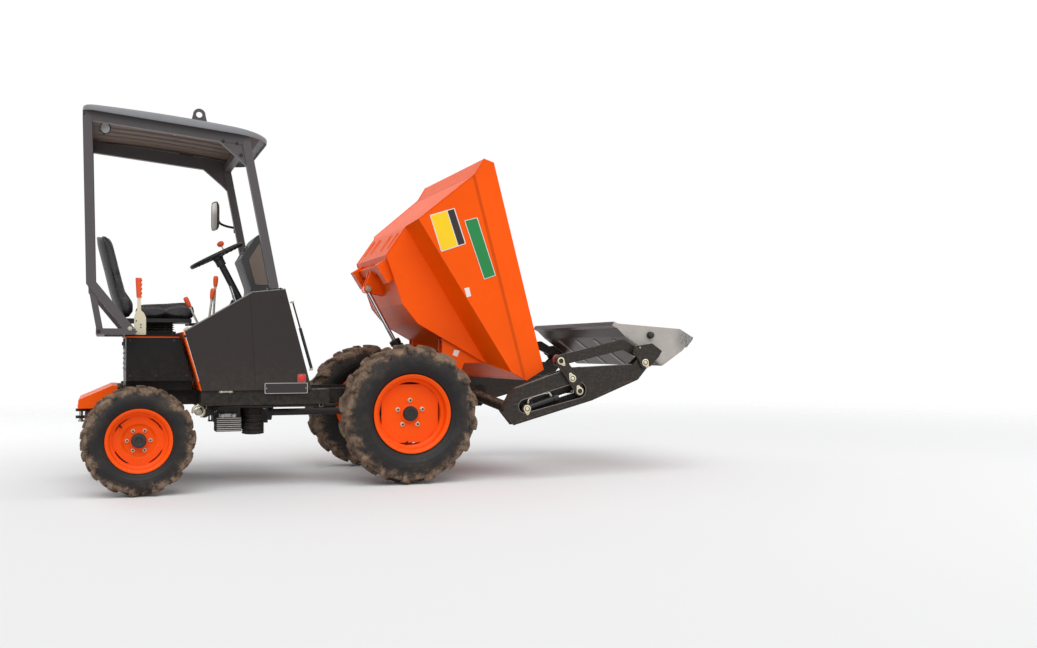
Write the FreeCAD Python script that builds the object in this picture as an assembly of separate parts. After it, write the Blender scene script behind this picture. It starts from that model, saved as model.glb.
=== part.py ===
"""Site dumper with a self-loading shovel: rigid frame, driven front axle, steered rear axle,
open driver's station under a four-post frame, tipping skip and front loading arms.

Millimetres. The origin is on the ground below the front axle, +X is forwards, +Y is to the
driver's left and +Z is up. The skip is modelled tipped and the shovel carried, as it works.
"""
import FreeCAD
import Part
import math
import os
from FreeCAD import Vector

# Running clearances
SEAT_GAP = 0.3          # between pieces that are bolted or rest on each other
PIN_GAP = 0.05          # radial, between a pin and its bore
SIDE_GAP = 6            # between plates that turn past each other
WALL = 5                # sheet of the skip, the shovel and the panels

# Wheels and axles
WHEELBASE = 1620
FRONT_TYRE = dict(radius=442.5, width=270, bead=229, centre=595, lugs=17, lug_height=27)
REAR_TYRE = dict(radius=320, width=200, bead=170, centre=620, lugs=15, lug_height=21)
FRONT_RIM = dict(flange=250, bead=229, well=204, half=104, disc=24, cap=47, corners=8)
REAR_RIM = dict(flange=187.5, bead=170, well=150, half=78, disc=12, cap=42, corners=0)
RIM_WALL = 6
DISC = 8
FRONT_SPINDLE = 28
REAR_SPINDLE = 22
HUB_BOSS = 62
AXLE_TUBE = 42
KINGPIN_Y = 470
KINGPIN_R = 14
STEER_ARM = 140
STEER_RANGE = 30
TIE_ROD_R = 12

# The outlines below are drawn for a front tyre of 442.5 and a wheelbase of 1620. With others, all that
# the axles carry rises with the front tyre, the loader keeps its distance ahead of it, the seat box and
# the frame's tail follow the rear axle, and the cowl follows by a share of that, so that the footwell
# keeps its room
RISE = FRONT_TYRE["radius"] - 442.5
AHEAD = RISE
AFT = 1620 - WHEELBASE
COWL_SHARE = 0.35
FORE = AFT * COWL_SHARE
STRETCH = AFT - FORE        # what the station grows by, measured from the cowl

# Frame: rails, sills and what stands on them
RAIL_TOP = 600
RAIL_HEIGHT = 90
RAIL_IN, RAIL_OUT = 340, 400
REAR_RAIL_IN, REAR_RAIL_OUT = 270, 330
REAR_OVERHANG = 260
REAR_END = -WHEELBASE - REAR_OVERHANG
RAIL_STEP = -1240 + AFT
RAIL_FRONT = 450 + AHEAD
CROSS_HEIGHT = 46
SILL_IN, SILL_OUT = 500, 560
SILL_REAR = -WHEELBASE + REAR_TYRE["radius"] + 30
SILL_FRONT = -FRONT_TYRE["radius"] - 57.5

# Skip: hinge and side outline as it lies when lowered, in X and Z
HINGE = (370, 680)
HINGE_PIN_R = 15
TIP_ANGLE = 58
SKIP_REAR_LOW = (-547, 688)
SKIP_BOTTOM = (-217, 614)
SKIP_FRONT_LOW = (-57, 635)
FOLD_B = 896            # height where the tub's side turns out over the tyres
FOLD_A = 951            # height where it turns up again
SKIP_REAR_FOLD = -637
SKIP_LIP = (613, 1004)
SKIP_RIM_FRONT = (617, 1142)
SKIP_RIM_REAR = (-711, 1559)
SKIP_CHAMFER = (-764, 1514)
SKIP_CREASE_REAR = (-710, 1409)
TUB_HALF = 436
FOLD_REAR_HALF, FOLD_FRONT_HALF = 607, 665
RIM_HALF = 685

# Tipping ram
TIP_BASE = (270, 530)
TIP_EYE = (-137, 1261)
# "stroke" leaves the rod's tail that far off the barrel's floor, as far as each ram closes
RAM_FIT = 0.5
TIP_BARREL = dict(radius=33, length=438, eye=26, width=44, stroke=176)
TIP_ROD = dict(radius=14, eye=25, width=40)

# Loading arms: pivots in X and Z as they stand
ARM_PIVOT = (515, 540)
LIFT_BASE = (140, 420)
LIFT_EYE = (515, 400)
LEVER_PIVOT = (1052, 658)
LEVER_TOP = (969, 773)
LEVER_ROD = (1103, 575)
TILT_BASE = (739, 465)
SHOVEL_PIVOT = (1586, 760)
SHOVEL_LINK = (1530, 834)
LIFT_RANGE = (-29.5, 48)
TILT_RANGE = (-18, 40)
LIFT_Y = 200
LIFT_BARREL = dict(radius=27, length=262, eye=24, width=40, stroke=74)
LIFT_ROD = dict(radius=15, eye=22, width=36)
TILT_BARREL = dict(radius=23, length=240, eye=24, width=40, stroke=34)
TILT_ROD = dict(radius=12, eye=28, width=36)
ARM_INNER = (698, 708)      # inner plate of the box arm, from the centre line
ARM_OUTER = (766, 776)      # its outer plate
ARM_MIDDLE = (ARM_INNER[1] + ARM_OUTER[0]) / 2
LEVER_BAR = (782, 794)
LINK_HALF = 12
TORQUE_TUBE = 38
LOADER_PIN = 15

# Shovel outline in X and Z as it is carried
SHOVEL_TOP = (1387, 1025)
SHOVEL_KINK = (1479, 938)
SHOVEL_HEEL = (1755, 741)
SHOVEL_TOE = (1911, 844)
SHOVEL_TIP = (1990, 934)
SHOVEL_CORNER = (1894, 989)
SHOVEL_HALF = 717
SHOVEL_PLATE = 8

# Driver's station
POST = 50
POST_HALF = 550
PANEL_HALF = 575
CANOPY = dict(rear=-1937, front=-860, half=612, band=48, crown=9000, sheet=6, rear_edge=2264.19, fall=5.6)
ROOF_RAIL_REAR = (-1926, 2218.3)
ROOF_RAIL_DEPTH = 78
ROOF_SLOPE = 92 / 934
LIFTING_EYE = (-1290, 2258)
BOX_TOP = 925
BOX_HALF = 480
BRAKE_LEVER_INSET = 50
WHEEL_CENTRE = (-1132, 0, 1460)
WHEEL_AXIS = Vector(-0.462, 0, 0.887)
LIFT_EYE_R = 18


def box(x0, x1, y0, y1, z0, z1):
    return Part.makeBox(x1 - x0, y1 - y0, z1 - z0, Vector(x0, y0, z0))


def face_of(points):
    return Part.Face(Part.makePolygon([Vector(*p) for p in points] + [Vector(*points[0])]))


def plate(outline, y0, y1):
    """An outline in X and Z, given thickness from y0 to y1."""
    return face_of([(x, y0, z) for x, z in outline]).extrude(Vector(0, y1 - y0, 0))


def slab(outline, z0, z1):
    """An outline in X and Y, given height from z0 to z1."""
    return face_of([(x, y, z0) for x, y in outline]).extrude(Vector(0, 0, z1 - z0))


def tube(start, end, radius):
    start, end = Vector(*start), Vector(*end)
    return Part.makeCylinder(radius, (end - start).Length, start, end - start)


def pin(place, y0, y1, radius):
    """A round bar along Y through a place in X and Z."""
    return tube((place[0], y0, place[1]), (place[0], y1, place[1]), radius)


def joined(pieces):
    shape = pieces[0].multiFuse(pieces[1:]) if len(pieces) > 1 else pieces[0]
    return shape.removeSplitter()


def group(pieces):
    """Like pieces that don't touch, kept in one node."""
    return Part.makeCompound(pieces)


def mirrored(shape):
    return shape.mirror(Vector(0, 0, 0), Vector(0, 1, 0))


def turned(outline, place, side, centre):
    """A ring about a Y axis. The outline is (distance outboard of centre, radius)."""
    x, z = place
    ring = face_of([(x, side * (centre + a), z + r) for a, r in outline])
    return ring.revolve(Vector(x, 0, z), Vector(0, 1, 0), 360)


def band(path, depth):
    """The outline of a bar of that depth along a path in X and Z, mitred at its turns."""
    left, right = [], []
    for i, (x, z) in enumerate(path):
        before = path[max(i - 1, 0)]
        after = path[min(i + 1, len(path) - 1)]
        one = math.atan2(z - before[1], x - before[0]) if i else None
        two = math.atan2(after[1] - z, after[0] - x) if i < len(path) - 1 else one
        one = two if one is None else one
        middle = (one + two) / 2
        reach = depth / 2 / math.cos((two - one) / 2)
        dx, dz = -math.sin(middle) * reach, math.cos(middle) * reach
        left.append((x + dx, z + dz))
        right.append((x - dx, z - dz))
    return left + right[::-1]


def swung(place, centre, angle):
    """A place in X and Z turned about a centre, front end up for a positive angle."""
    a = math.radians(angle)
    x, z = place[0] - centre[0], place[1] - centre[1]
    return (centre[0] + x * math.cos(a) - z * math.sin(a), centre[1] + x * math.sin(a) + z * math.cos(a))


def rounded_bar(start, end, y0, y1, start_r, end_r):
    """A flat bar between two places in X and Z, its ends rounded about them."""
    run = math.dist(start, end)
    lean = math.asin((start_r - end_r) / run)
    heading = math.atan2(end[1] - start[1], end[0] - start[0])
    corners = []
    for place, radius, way in ((start, start_r, 1), (end, end_r, 1), (end, end_r, -1), (start, start_r, -1)):
        a = heading + way * (math.pi / 2 - lean)
        corners.append((place[0] + radius * math.cos(a), place[1] + radius * math.sin(a)))
    return joined([plate(corners, y0, y1), pin(start, y0, y1, start_r), pin(end, y0, y1, end_r)])


def ring_of_corners(x0, half0, z0, x1, half1, z1):
    return [(x0, -half0, z0), (x1, -half1, z1), (x1, half1, z1), (x0, half0, z0)]


# Wheels

def faceted_ring(section, sides, inner):
    """A ring about the Y axis with flat sides. The section is a closed loop of (along Y, radius);
    its first and last places are the bore, where the flats and not the corners keep the radius."""
    step = 2 * math.pi / sides
    loops = []
    for along, radius in section:
        r = radius / math.cos(step / 2) if radius == inner else radius
        loops.append([(r * math.cos(step * i), along, r * math.sin(step * i)) for i in range(sides)])
    faces = []
    for near, far in zip(loops, loops[1:] + loops[:1]):
        for i in range(sides):
            j = (i + 1) % sides
            faces.append(face_of([near[i], near[j], far[j], far[i]]))
    return solid_of(faces)


def solid_of(faces):
    return Part.Solid(Part.Shell(faces))


def tyre(size, seat, place, side):
    """A traction tyre: a ring with bulged sides and slanting lugs, alternate on the two halves."""
    half = size["width"] / 2
    casing = size["radius"] - size["lug_height"]
    depth = casing - size["bead"]
    bead = size["bead"] + SEAT_GAP
    toe = seat["half"] - 9.5
    right = [(toe, bead), (toe, seat["flange"] + 2), (half, bead + 0.52 * depth), (0.85 * half, casing)]
    whole = faceted_ring(right + [(-a, r) for a, r in right[::-1]], 2 * size["lugs"], bead)
    crown = size["radius"]
    low = casing - 0.26 * depth
    profile = [(-7, low), (half + 1, low), (half + 1, crown - 0.62 * size["lug_height"]), (0.45 * half, crown),
               (-7, crown)]
    bar_width = size["width"] * 0.115
    # the lug's middle line: from just past the tyre's middle to its edge, back along the tread
    start, end = -14 * size["width"] / FRONT_TYRE["width"], 58 * size["width"] / FRONT_TYRE["width"]
    outline = [(start - bar_width / 2, -7), (start + bar_width / 2, -7), (end + bar_width / 2, half + 1),
               (end - bar_width / 2, half + 1)]
    lug = slab(outline, low, crown + 10)
    lug = lug.common(face_of([(-half, y, z) for y, z in profile]).extrude(Vector(2 * half, 0, 0)))
    pitch = 360 / size["lugs"]
    lugs = []
    for i in range(size["lugs"]):
        for half_side, shift in ((1, 0), (-1, 0.5)):
            one = lug.copy() if half_side > 0 else mirrored(lug)
            one.rotate(Vector(0, 0, 0), Vector(0, 1, 0), pitch * (i + shift))
            lugs.append(one)
    whole = whole.multiFuse(lugs)
    if side > 0:
        whole = mirrored(whole)
    whole.translate(Vector(place[0], side * size["centre"], place[1]))
    return whole


def rim(size, place, side, centre, spindle):
    """A drop-centre rim with its disc, hub boss bored for the spindle, and cap."""
    outer = [(-size["half"], size["flange"]), (-size["half"] + 8, size["flange"]), (-size["half"] + 9, size["bead"]),
             (-0.55 * size["half"], size["bead"] - 3), (-0.45 * size["half"], size["well"]),
             (0.35 * size["half"], size["well"]), (0.47 * size["half"], size["bead"] - 3),
             (size["half"] - 9, size["bead"]), (size["half"] - 8, size["flange"]), (size["half"], size["flange"])]
    inner = [(a, r - RIM_WALL) for a, r in outer[::-1]]
    inner[0] = (size["half"], size["flange"] - 12)
    inner[-1] = (-size["half"], size["flange"] - 12)
    inner[1] = (size["half"] - 8, size["bead"] - RIM_WALL)
    inner[-2] = (-size["half"] + 8, size["bead"] - RIM_WALL)
    inner.pop(2)
    inner.pop(-3)
    drum = turned(outer + inner, place, side, centre)
    x, z = place
    face = centre + size["disc"]
    if size["corners"]:
        step = 2 * math.pi / size["corners"]
        reach = size["well"] - RIM_WALL / 2
        flat = [(x + reach * math.cos(step * (i + 0.5)), z + reach * math.sin(step * (i + 0.5)))
                for i in range(size["corners"])]
        disc = plate(flat, side * face, side * (face + DISC))
    else:
        dish = [(0, size["well"] - 2), (0, 0.66 * size["well"]), (-14, 0.52 * size["well"]), (-14, 20),
                (-14 - DISC, 20), (-14 - DISC, 0.56 * size["well"]), (-DISC, 0.70 * size["well"]),
                (-DISC, size["well"] - 2)]
        disc = turned(dish, place, side, face + DISC)
        slots = []
        for i in range(4):
            a = math.radians(45 + 90 * i)
            middle = (x + 0.80 * size["well"] * math.cos(a), z + 0.80 * size["well"] * math.sin(a))
            slot = box(-26, 26, -40, 40, -8, 8)
            slot.rotate(Vector(0, 0, 0), Vector(0, 1, 0), -math.degrees(a) + 90)
            slot.translate(Vector(middle[0], side * face, middle[1]))
            slots.append(slot)
        disc = disc.cut(group(slots))
    boss = pin(place, side * (face - 26), side * (face + DISC + 6), HUB_BOSS)
    cap = pin(place, side * face, side * (face + DISC + 34), size["cap"])
    bore = pin(place, side * (face - 60), side * (face + 4), spindle + PIN_GAP)
    return joined([drum, disc, boss, cap]).cut(bore)


def front_axle():
    """Driven axle: tubes, bearing ends, off-centre drive casing and pads under the rails."""
    z = FRONT_TYRE["radius"]
    face = FRONT_TYRE["centre"] + FRONT_RIM["disc"]
    shoulder = face - 32
    pieces = [pin((0, z), -shoulder, shoulder, AXLE_TUBE)]
    for side in (-1, 1):
        pieces.append(pin((0, z), side * (shoulder - 120), side * shoulder, 70))
        pieces.append(pin((0, z), side * (shoulder - 10), side * face, FRONT_SPINDLE))
        pad = sorted((side * (RAIL_IN + 5), side * (RAIL_OUT - 5)))
        pieces.append(box(-45, 45, pad[0], pad[1], z, RISE + RAIL_TOP - RAIL_HEIGHT - SEAT_GAP))
    casing = [(-78, 48), (-60, 84), (60, 84), (78, 48), (78, 0), (-78, 0)]
    pieces.append(turned(casing, (0, z), -1, 165))
    pieces.append(tube((-150, -165, z), (0, -165, z), 40))
    return joined(pieces)


def rear_axle():
    """Steered axle: a box beam with a fork and kingpin at each end, hung from the rear rails."""
    x, z = -WHEELBASE, REAR_TYRE["radius"]
    pieces = [box(x - 40, x + 40, -KINGPIN_Y + 45, KINGPIN_Y - 45, z - 40, z + 40)]
    for side in (-1, 1):
        ears = sorted((side * (KINGPIN_Y - 60), side * KINGPIN_Y))
        for low, high in ((-62, -44), (44, 62)):
            pieces.append(box(x - 30, x + 30, ears[0], ears[1], z + low, z + high))
            pieces.append(tube((x, side * KINGPIN_Y, z + low), (x, side * KINGPIN_Y, z + high), 30))
        web = sorted((side * (KINGPIN_Y - 60), side * (KINGPIN_Y - 40)))
        pieces.append(box(x - 30, x + 30, web[0], web[1], z - 62, z + 62))
        pieces.append(tube((x, side * KINGPIN_Y, z - 70), (x, side * KINGPIN_Y, z + 70), KINGPIN_R))
        stand = sorted((side * (REAR_RAIL_IN + 10), side * (REAR_RAIL_OUT - 10)))
        pieces.append(box(x - 40, x + 40, stand[0], stand[1], z, RISE + RAIL_TOP - RAIL_HEIGHT - SEAT_GAP))
    return joined(pieces)


def knuckle(side):
    """Steering knuckle: a sleeve on the kingpin, the stub axle and the arm for the tie rod."""
    x, y, z = -WHEELBASE, side * KINGPIN_Y, REAR_TYRE["radius"]
    face = REAR_TYRE["centre"] + REAR_RIM["disc"]
    end = x + STEER_ARM
    pieces = [tube((x, y, z - 38), (x, y, z + 38), 30),
              pin((x, z), y + side * (KINGPIN_R + 4), side * (face - 60), 27),
              pin((x, z), side * (face - 80), side * (face - 4), REAR_SPINDLE),
              box(x + KINGPIN_R + 4, end, y - 13, y + 13, z - 36, z - 20),
              tube((end, y, z - 36), (end, y, z - 20), 22),
              tube((end, y, z - 20), (end, y, z + 16), TIE_ROD_R - 4)]
    body = joined(pieces)
    return body.cut(tube((x, y, z - 40), (x, y, z + 40), KINGPIN_R + PIN_GAP))


def tie_rod():
    """Track rod between the two steering arms, with an eye at each end."""
    x, z = -WHEELBASE + STEER_ARM, REAR_TYRE["radius"]
    pieces = [pin((x, z), -KINGPIN_Y, KINGPIN_Y, TIE_ROD_R)]
    bores = []
    for side in (-1, 1):
        place = (x, side * KINGPIN_Y, z - 14)
        pieces.append(tube(place, (place[0], place[1], z + 14), 22))
        bores.append(tube((place[0], place[1], z - 18), (place[0], place[1], z + 18), TIE_ROD_R - 4 + PIN_GAP))
    return joined(pieces).cut(group(bores))


# Frame

def chassis_frame():
    low = RAIL_TOP - RAIL_HEIGHT
    pieces = []
    for side in (-1, 1):
        for x0, x1, inner, outer in ((RAIL_STEP, RAIL_FRONT, RAIL_IN, RAIL_OUT),
                                     (REAR_END, RAIL_STEP + 60, REAR_RAIL_IN, REAR_RAIL_OUT),
                                     (SILL_REAR, SILL_FRONT, SILL_IN, SILL_OUT)):
            ys = sorted((side * inner, side * outer))
            if x0 == REAR_END:
                tail = [(x0, low), (x0, RAIL_TOP - 32), (x0 + 65, RAIL_TOP), (x1, RAIL_TOP), (x1, low)]
                pieces.append(plate(tail, *ys))
            else:
                pieces.append(box(x0, x1, ys[0], ys[1], low, RAIL_TOP))
        for x0, x1, inner in ((SILL_REAR, SILL_REAR + 60, REAR_RAIL_IN), (SILL_FRONT - 60, SILL_FRONT, RAIL_IN)):
            ys = sorted((side * inner, side * SILL_OUT))
            pieces.append(box(x0, x1, ys[0], ys[1], low, RAIL_TOP))
        ys = sorted((side * RAIL_IN, side * RAIL_OUT))
        nose = [(RAIL_FRONT - 20, 470), (RAIL_FRONT + 105, 470), (RAIL_FRONT + 140, 505), (RAIL_FRONT + 140, 585),
                (RAIL_FRONT + 110, 615), (RAIL_FRONT - 20, 615)]
        pieces.append(plate(nose, *ys))
        ys = sorted((side * (RAIL_IN + 6), side * (RAIL_OUT - 6)))
        pieces.append(rounded_bar((HINGE[0], RAIL_TOP - 10), HINGE, ys[0], ys[1], 62, 32))
        pieces.append(pin(HINGE, side * (RAIL_IN - 24), side * (RAIL_OUT + 24), HINGE_PIN_R))
    # cross-members: rear end to front end, bottom and top
    for x0, x1, half, z0, z1 in ((REAR_END, REAR_END + 12, REAR_RAIL_OUT, 400, RAIL_TOP - 35),
                                 (AFT - 1650, AFT - 1600, REAR_RAIL_IN, low, low + CROSS_HEIGHT),
                                 (AFT - 1400, AFT - 1350, REAR_RAIL_IN, low, low + CROSS_HEIGHT),
                                 (RAIL_STEP - 20, RAIL_STEP + 40, REAR_RAIL_IN, low, RAIL_TOP),
                                 (AFT - 800, AFT - 740, RAIL_IN, low, RAIL_TOP), (110, 310, RAIL_IN, 458, 484)):
        pieces.append(box(x0, x1, -half, half, z0, z1))
    for side in (-1, 1):
        ys = sorted((side * RAIL_IN, side * RAIL_OUT))
        pieces.append(box(110, 310, ys[0], ys[1], 458, low))
    # ears of the tipping ram and of the two lifting rams
    for side in (-1, 1):
        gap = TIP_BARREL["width"] / 2 + SIDE_GAP / 2
        ys = sorted((side * gap, side * (gap + 12)))
        pieces.append(rounded_bar((TIP_BASE[0], 470), TIP_BASE, ys[0], ys[1], 38, 26))
        for face in (-1, 1):
            gap = LIFT_BARREL["width"] / 2 + SIDE_GAP / 2
            ys = sorted((side * LIFT_Y + face * gap, side * LIFT_Y + face * (gap + 10)))
            pieces.append(rounded_bar((LIFT_BASE[0] + 10, 470), LIFT_BASE, ys[0], ys[1], 34, 24))
    pieces.append(pin(TIP_BASE, -40, 40, 12))
    for side in (-1, 1):
        pieces.append(pin(LIFT_BASE, side * LIFT_Y - 36, side * LIFT_Y + 36, 11))
    frame = joined(pieces)
    arm_pivot = (ARM_PIVOT[0] + AHEAD, ARM_PIVOT[1])
    return frame.cut(pin(arm_pivot, -RAIL_OUT - 5, RAIL_OUT + 5, TORQUE_TUBE + PIN_GAP))


def entry_step():
    """Foot step hung below the driver's left sill."""
    low = RAIL_TOP - RAIL_HEIGHT - SEAT_GAP
    pieces = [box(-1130, -870, 505, 590, 348, 356)]
    for x in (-1130, -878):
        pieces.append(box(x, x + 8, 512, 550, 352, low))
    return joined(pieces)


def tow_hitch():
    """Rear towing jaw: two lugs with an upright pin hole."""
    x1 = REAR_END - AFT - SEAT_GAP
    pieces = [box(x1 - 10, x1, -70, 70, 412, 488)]
    for z in (420, 464):
        pieces.append(box(x1 - 62, x1, -32, 32, z, z + 16))
        pieces.append(tube((x1 - 62, 0, z), (x1 - 62, 0, z + 16), 32))
    return joined(pieces).cut(tube((x1 - 62, 0, 400), (x1 - 62, 0, 500), 12.5))


def rear_cover():
    """Sloping cover over the tail of the frame, with cheeks outside the rails."""
    inner = REAR_RAIL_OUT + SEAT_GAP
    path = [(-1735, 627.5), (-1765, 627.5), (-1950, 546), (-1954, 496)]
    cheek = path + [(-1735, 496)]
    pieces = [plate(band(path, WALL), -inner - WALL, inner + WALL)]
    for side in (-1, 1):
        pieces.append(plate(cheek, *sorted((side * inner, side * (inner + WALL)))))
    return joined(pieces)


def engine_block():
    foot = RAIL_TOP - RAIL_HEIGHT + CROSS_HEIGHT + SEAT_GAP
    return plate([(-1660, foot), (-1660, 880), (-1400, 880), (-1345, 700), (-1345, foot)], -200, 200)


def transmission():
    """Gearbox casing with its shafts to both axles, hung between the rails."""
    z = FRONT_TYRE["radius"] - RISE
    top = RAIL_TOP - RAIL_HEIGHT - SEAT_GAP
    pieces = [box(-1150, -830, -230, 120, 380, 500), box(-1110, -870, -200, 90, 340, 390),
              box(-800, -740, -230, 230, top - 24, top), box(-860, -790, -200, 90, 440, top),
              tube((-830, -165, z), (-150 - AFT - SEAT_GAP, -165, z), 22), tube((-860, -165, z), (-800, -165, z), 50),
              box(-1260, -1200, -230, 120, top - 24, top), box(-1210, -1140, -200, 90, 440, top)]
    return joined(pieces)


def hydraulic_unit():
    """Ribbed filter canister and finned pump block under the right sill."""
    top = RAIL_TOP - RAIL_HEIGHT - SEAT_GAP
    centre = (-932, -300)
    rings = [tube((*centre, 318), (*centre, top), 58)]
    for i in range(6):
        rings.append(tube((*centre, 326 + 26 * i), (*centre, 336 + 26 * i), 66))
    rings.append(box(-1180, -880, -410, -250, top - 14, top))
    for i in range(5):
        rings.append(box(-1164, -1012, -384 + 32 * i, -366 + 32 * i, 340, 430))
    rings.append(box(-1156, -1020, -380, -242, 350, top))
    rings.append(pin((-1235, 463), -385, -330, 34))
    rings.append(box(-1235, -1150, -360, -335, 440, top))
    return joined(rings)


# Driver's station

def box_outline(inset):
    return [(-1690 + inset, 660), (-1690 + inset, BOX_TOP - inset), (-1388 - inset, BOX_TOP - inset),
            (-1312 - inset, 660)]


def seat_box():
    """Engine housing below the seat: a sheet box, open below, drawn in over the rear tyres."""
    skirt_top = 664
    outer = joined([plate(box_outline(0), -BOX_HALF, BOX_HALF),
                    box(-1690, -1310, -400, 400, RAIL_TOP + SEAT_GAP, skirt_top)])
    inner = plate([(-1685, 665), (-1685, BOX_TOP - WALL), (-1394, BOX_TOP - WALL), (-1319, 665)],
                  -BOX_HALF + WALL, BOX_HALF - WALL)
    throat = box(-1685, -1319, -395, 395, RAIL_TOP - 5, 670)
    return outer.cut(joined([inner, throat]))


def seat_box_lid():
    return box(-1698, -1388, -BOX_HALF - 8, BOX_HALF + 8, BOX_TOP + SEAT_GAP, BOX_TOP + 9)


def bulkhead():
    """Slanting sheet in front of the seat box, its edge showing behind the side panel."""
    foot = RAIL_TOP + SEAT_GAP
    return plate([(-1273, foot), (-1265, foot), (-1369, 952), (-1377, 952)], -PANEL_HALF + 6, PANEL_HALF - 6)


def side_panel(side):
    """Cowl side. The driver steps in on the left, so that side is cut low behind the post."""
    foot = RAIL_TOP + SEAT_GAP
    if side < 0:
        outline = [(STRETCH - 1264, foot), (-611, foot), (-775, 1216), (-972, 1194), (STRETCH - 1367, 952)]
    else:
        outline = [(-930, foot), (-611, foot), (-775, 1216), (-972, 1194), (-1000, 1130)]
    ys = sorted((side * PANEL_HALF, side * (PANEL_HALF - WALL)))
    return plate(outline, *ys)


def cowl_top(x):
    """Height of the cowl's sloping top, with the seat gap."""
    return 1212.6 + SEAT_GAP + (x + 781) * 21 / 187


def cowl():
    """Front wall and top of the cowl, between the side panels."""
    foot = RAIL_TOP + 7
    half = PANEL_HALF - WALL - SEAT_GAP
    path = [(-620, foot), (-781, 1210), (-950, 1191)]
    return plate(band(path, WALL), -half, half)


def floor_plate():
    half = PANEL_HALF - WALL - 1
    return box(STRETCH - 1264, -618, -half, half, RAIL_TOP + SEAT_GAP, RAIL_TOP + 6)


def rops_frame():
    """Four-post frame: rear posts with a knee and a second leg, front posts, roof rails, lifting eyes."""
    pieces = []
    knee, foot, heel = (STRETCH - 1888, 1236), (STRETCH - 1668, 958), (STRETCH - 1836, 958)
    rail_rear = (STRETCH + ROOF_RAIL_REAR[0], ROOF_RAIL_REAR[1])
    rail_front = (-992, roof_rail_height(-992))
    top_rear, top_front = (rail_rear[0] + 11, rail_rear[1] - 14.3), (rail_front[0] - 25, rail_front[1] - 10.3)
    front_foot = (-840, 1222)
    for side in (-1, 1):
        ys = sorted((side * (POST_HALF - POST / 2), side * (POST_HALF + POST / 2)))
        pieces.append(plate(band([top_rear, knee, foot], POST), *ys))
        pieces.append(plate(band([knee, heel], 36), ys[0] + 6, ys[1] - 6))
        pieces.append(plate(band([top_front, front_foot], POST), *ys))
        pieces.append(plate(band([rail_rear, rail_front], ROOF_RAIL_DEPTH), ys[0] + 4, ys[1] - 4))
        head = rail_front[1] - 2126.3
        gusset = [(-1180, 2110 + head), (-1040, 2096 + head), (-1010, 1960 + head), (-1050, 2000 + head)]
        pieces.append(plate(gusset, ys[0] + 8, ys[1] - 8))
        pieces.append(box(STRETCH - 1858, STRETCH - 1640, ys[0], ys[1], 934 + SEAT_GAP, 970))
        shoe = [(-885, cowl_top(-885)), (-790, cowl_top(-790)), (-790, 1224), (-885, 1224)]
        pieces.append(plate(shoe, ys[0] + 5, ys[1] - 8) if side > 0 else plate(shoe, ys[0] + 8, ys[1] - 5))
        eye = lifting_eye()
        base = [(eye[0] - 58, eye[1] - 88), (eye[0] + 58, eye[1] - 98), (eye[0] + 34, eye[1] + 8),
                (eye[0] - 34, eye[1] + 8)]
        ring = joined([plate(base, side * POST_HALF - 6, side * POST_HALF + 6),
                       pin(eye, side * POST_HALF - 6, side * POST_HALF + 6, 36)])
        pieces.append(ring.cut(pin(eye, side * POST_HALF - 10, side * POST_HALF + 10, LIFT_EYE_R)))
    reach = POST_HALF - POST / 2 + 2
    for x0, x1, z0, z1 in ((rail_rear[0] - 14, rail_rear[0] + 34, rail_rear[1] - 48.3, rail_rear[1] + 3.7),
                           (rail_front[0] - 42, rail_front[0] + 2, rail_front[1] - 34.3, rail_front[1] + 15.7),
                           (STRETCH - 1858, STRETCH - 1810, 934 + SEAT_GAP, 970),
                           (STRETCH - 1690, STRETCH - 1640, 934 + SEAT_GAP, 970)):
        pieces.append(box(x0, x1, -reach, reach, z0, z1))
    return joined(pieces)


def roof_rail_height(x):
    """Height of the roof rails' middle line, which falls at the canopy's slope."""
    return ROOF_RAIL_REAR[1] - (x - STRETCH - ROOF_RAIL_REAR[0]) * ROOF_SLOPE


def lifting_eye():
    return (LIFTING_EYE[0], LIFTING_EYE[1] + STRETCH * ROOF_SLOPE)


def canopy():
    """Moulded roof: a crowned sheet with a deep edge, round front corners and ribs beneath."""
    rear = STRETCH + CANOPY["rear"]
    length = CANOPY["front"] - rear
    half = CANOPY["half"]

    def dome(inset, radius):
        block = box(inset, length - inset, -half + inset, half - inset, -CANOPY["band"], 60)
        for x, corner in ((length - inset, 230 - inset), (inset, 70 - inset)):
            upright = [e for e in block.Edges if e.BoundBox.XLength + e.BoundBox.YLength < 1
                       and abs(e.Vertexes[0].X - x) < 1]
            block = block.makeFillet(corner, upright)
        barrel = Part.makeCylinder(radius, 4 * half, Vector(length / 2, -2 * half, -CANOPY["crown"]), Vector(0, 1, 0))
        return block.common(barrel)

    sheet = CANOPY["sheet"]
    inner = dome(sheet, CANOPY["crown"] - sheet)
    under = dome(sheet, CANOPY["crown"] - sheet - 9)
    ribs = [box(60, length - 90, 140 * i - 14, 140 * i + 14, -30, 60).common(inner).cut(under)
            for i in range(-3, 4)]
    roof = dome(0, CANOPY["crown"]).cut(inner).multiFuse(ribs)
    roof.rotate(Vector(0, 0, 0), Vector(0, 1, 0), CANOPY["fall"])
    crown_rise = length ** 2 / 8 / CANOPY["crown"]
    roof.translate(Vector(rear, 0, CANOPY["rear_edge"] + crown_rise))
    eye = lifting_eye()
    slots = [box(eye[0] - 62, eye[0] + 62, side * POST_HALF - 10, side * POST_HALF + 10, eye[1] - 108, eye[1] + 142)
             for side in (-1, 1)]
    return roof.cut(group(slots))


def seat_base():
    pieces = [box(-1620, -1392, -170, 170, BOX_TOP + 9 + SEAT_GAP, 960), box(-1600, -1410, -150, 150, 955, 1020),
              box(-1730, -1300, -190, 190, 1015, 1040)]
    return joined(pieces)


def seat_cushion():
    base = 1040 + SEAT_GAP
    outline = [(-1640, base), (-1275, base), (-1262, 1075), (-1272, 1125), (-1330, 1142), (-1640, 1120)]
    return plate(outline, -235, 235)


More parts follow.
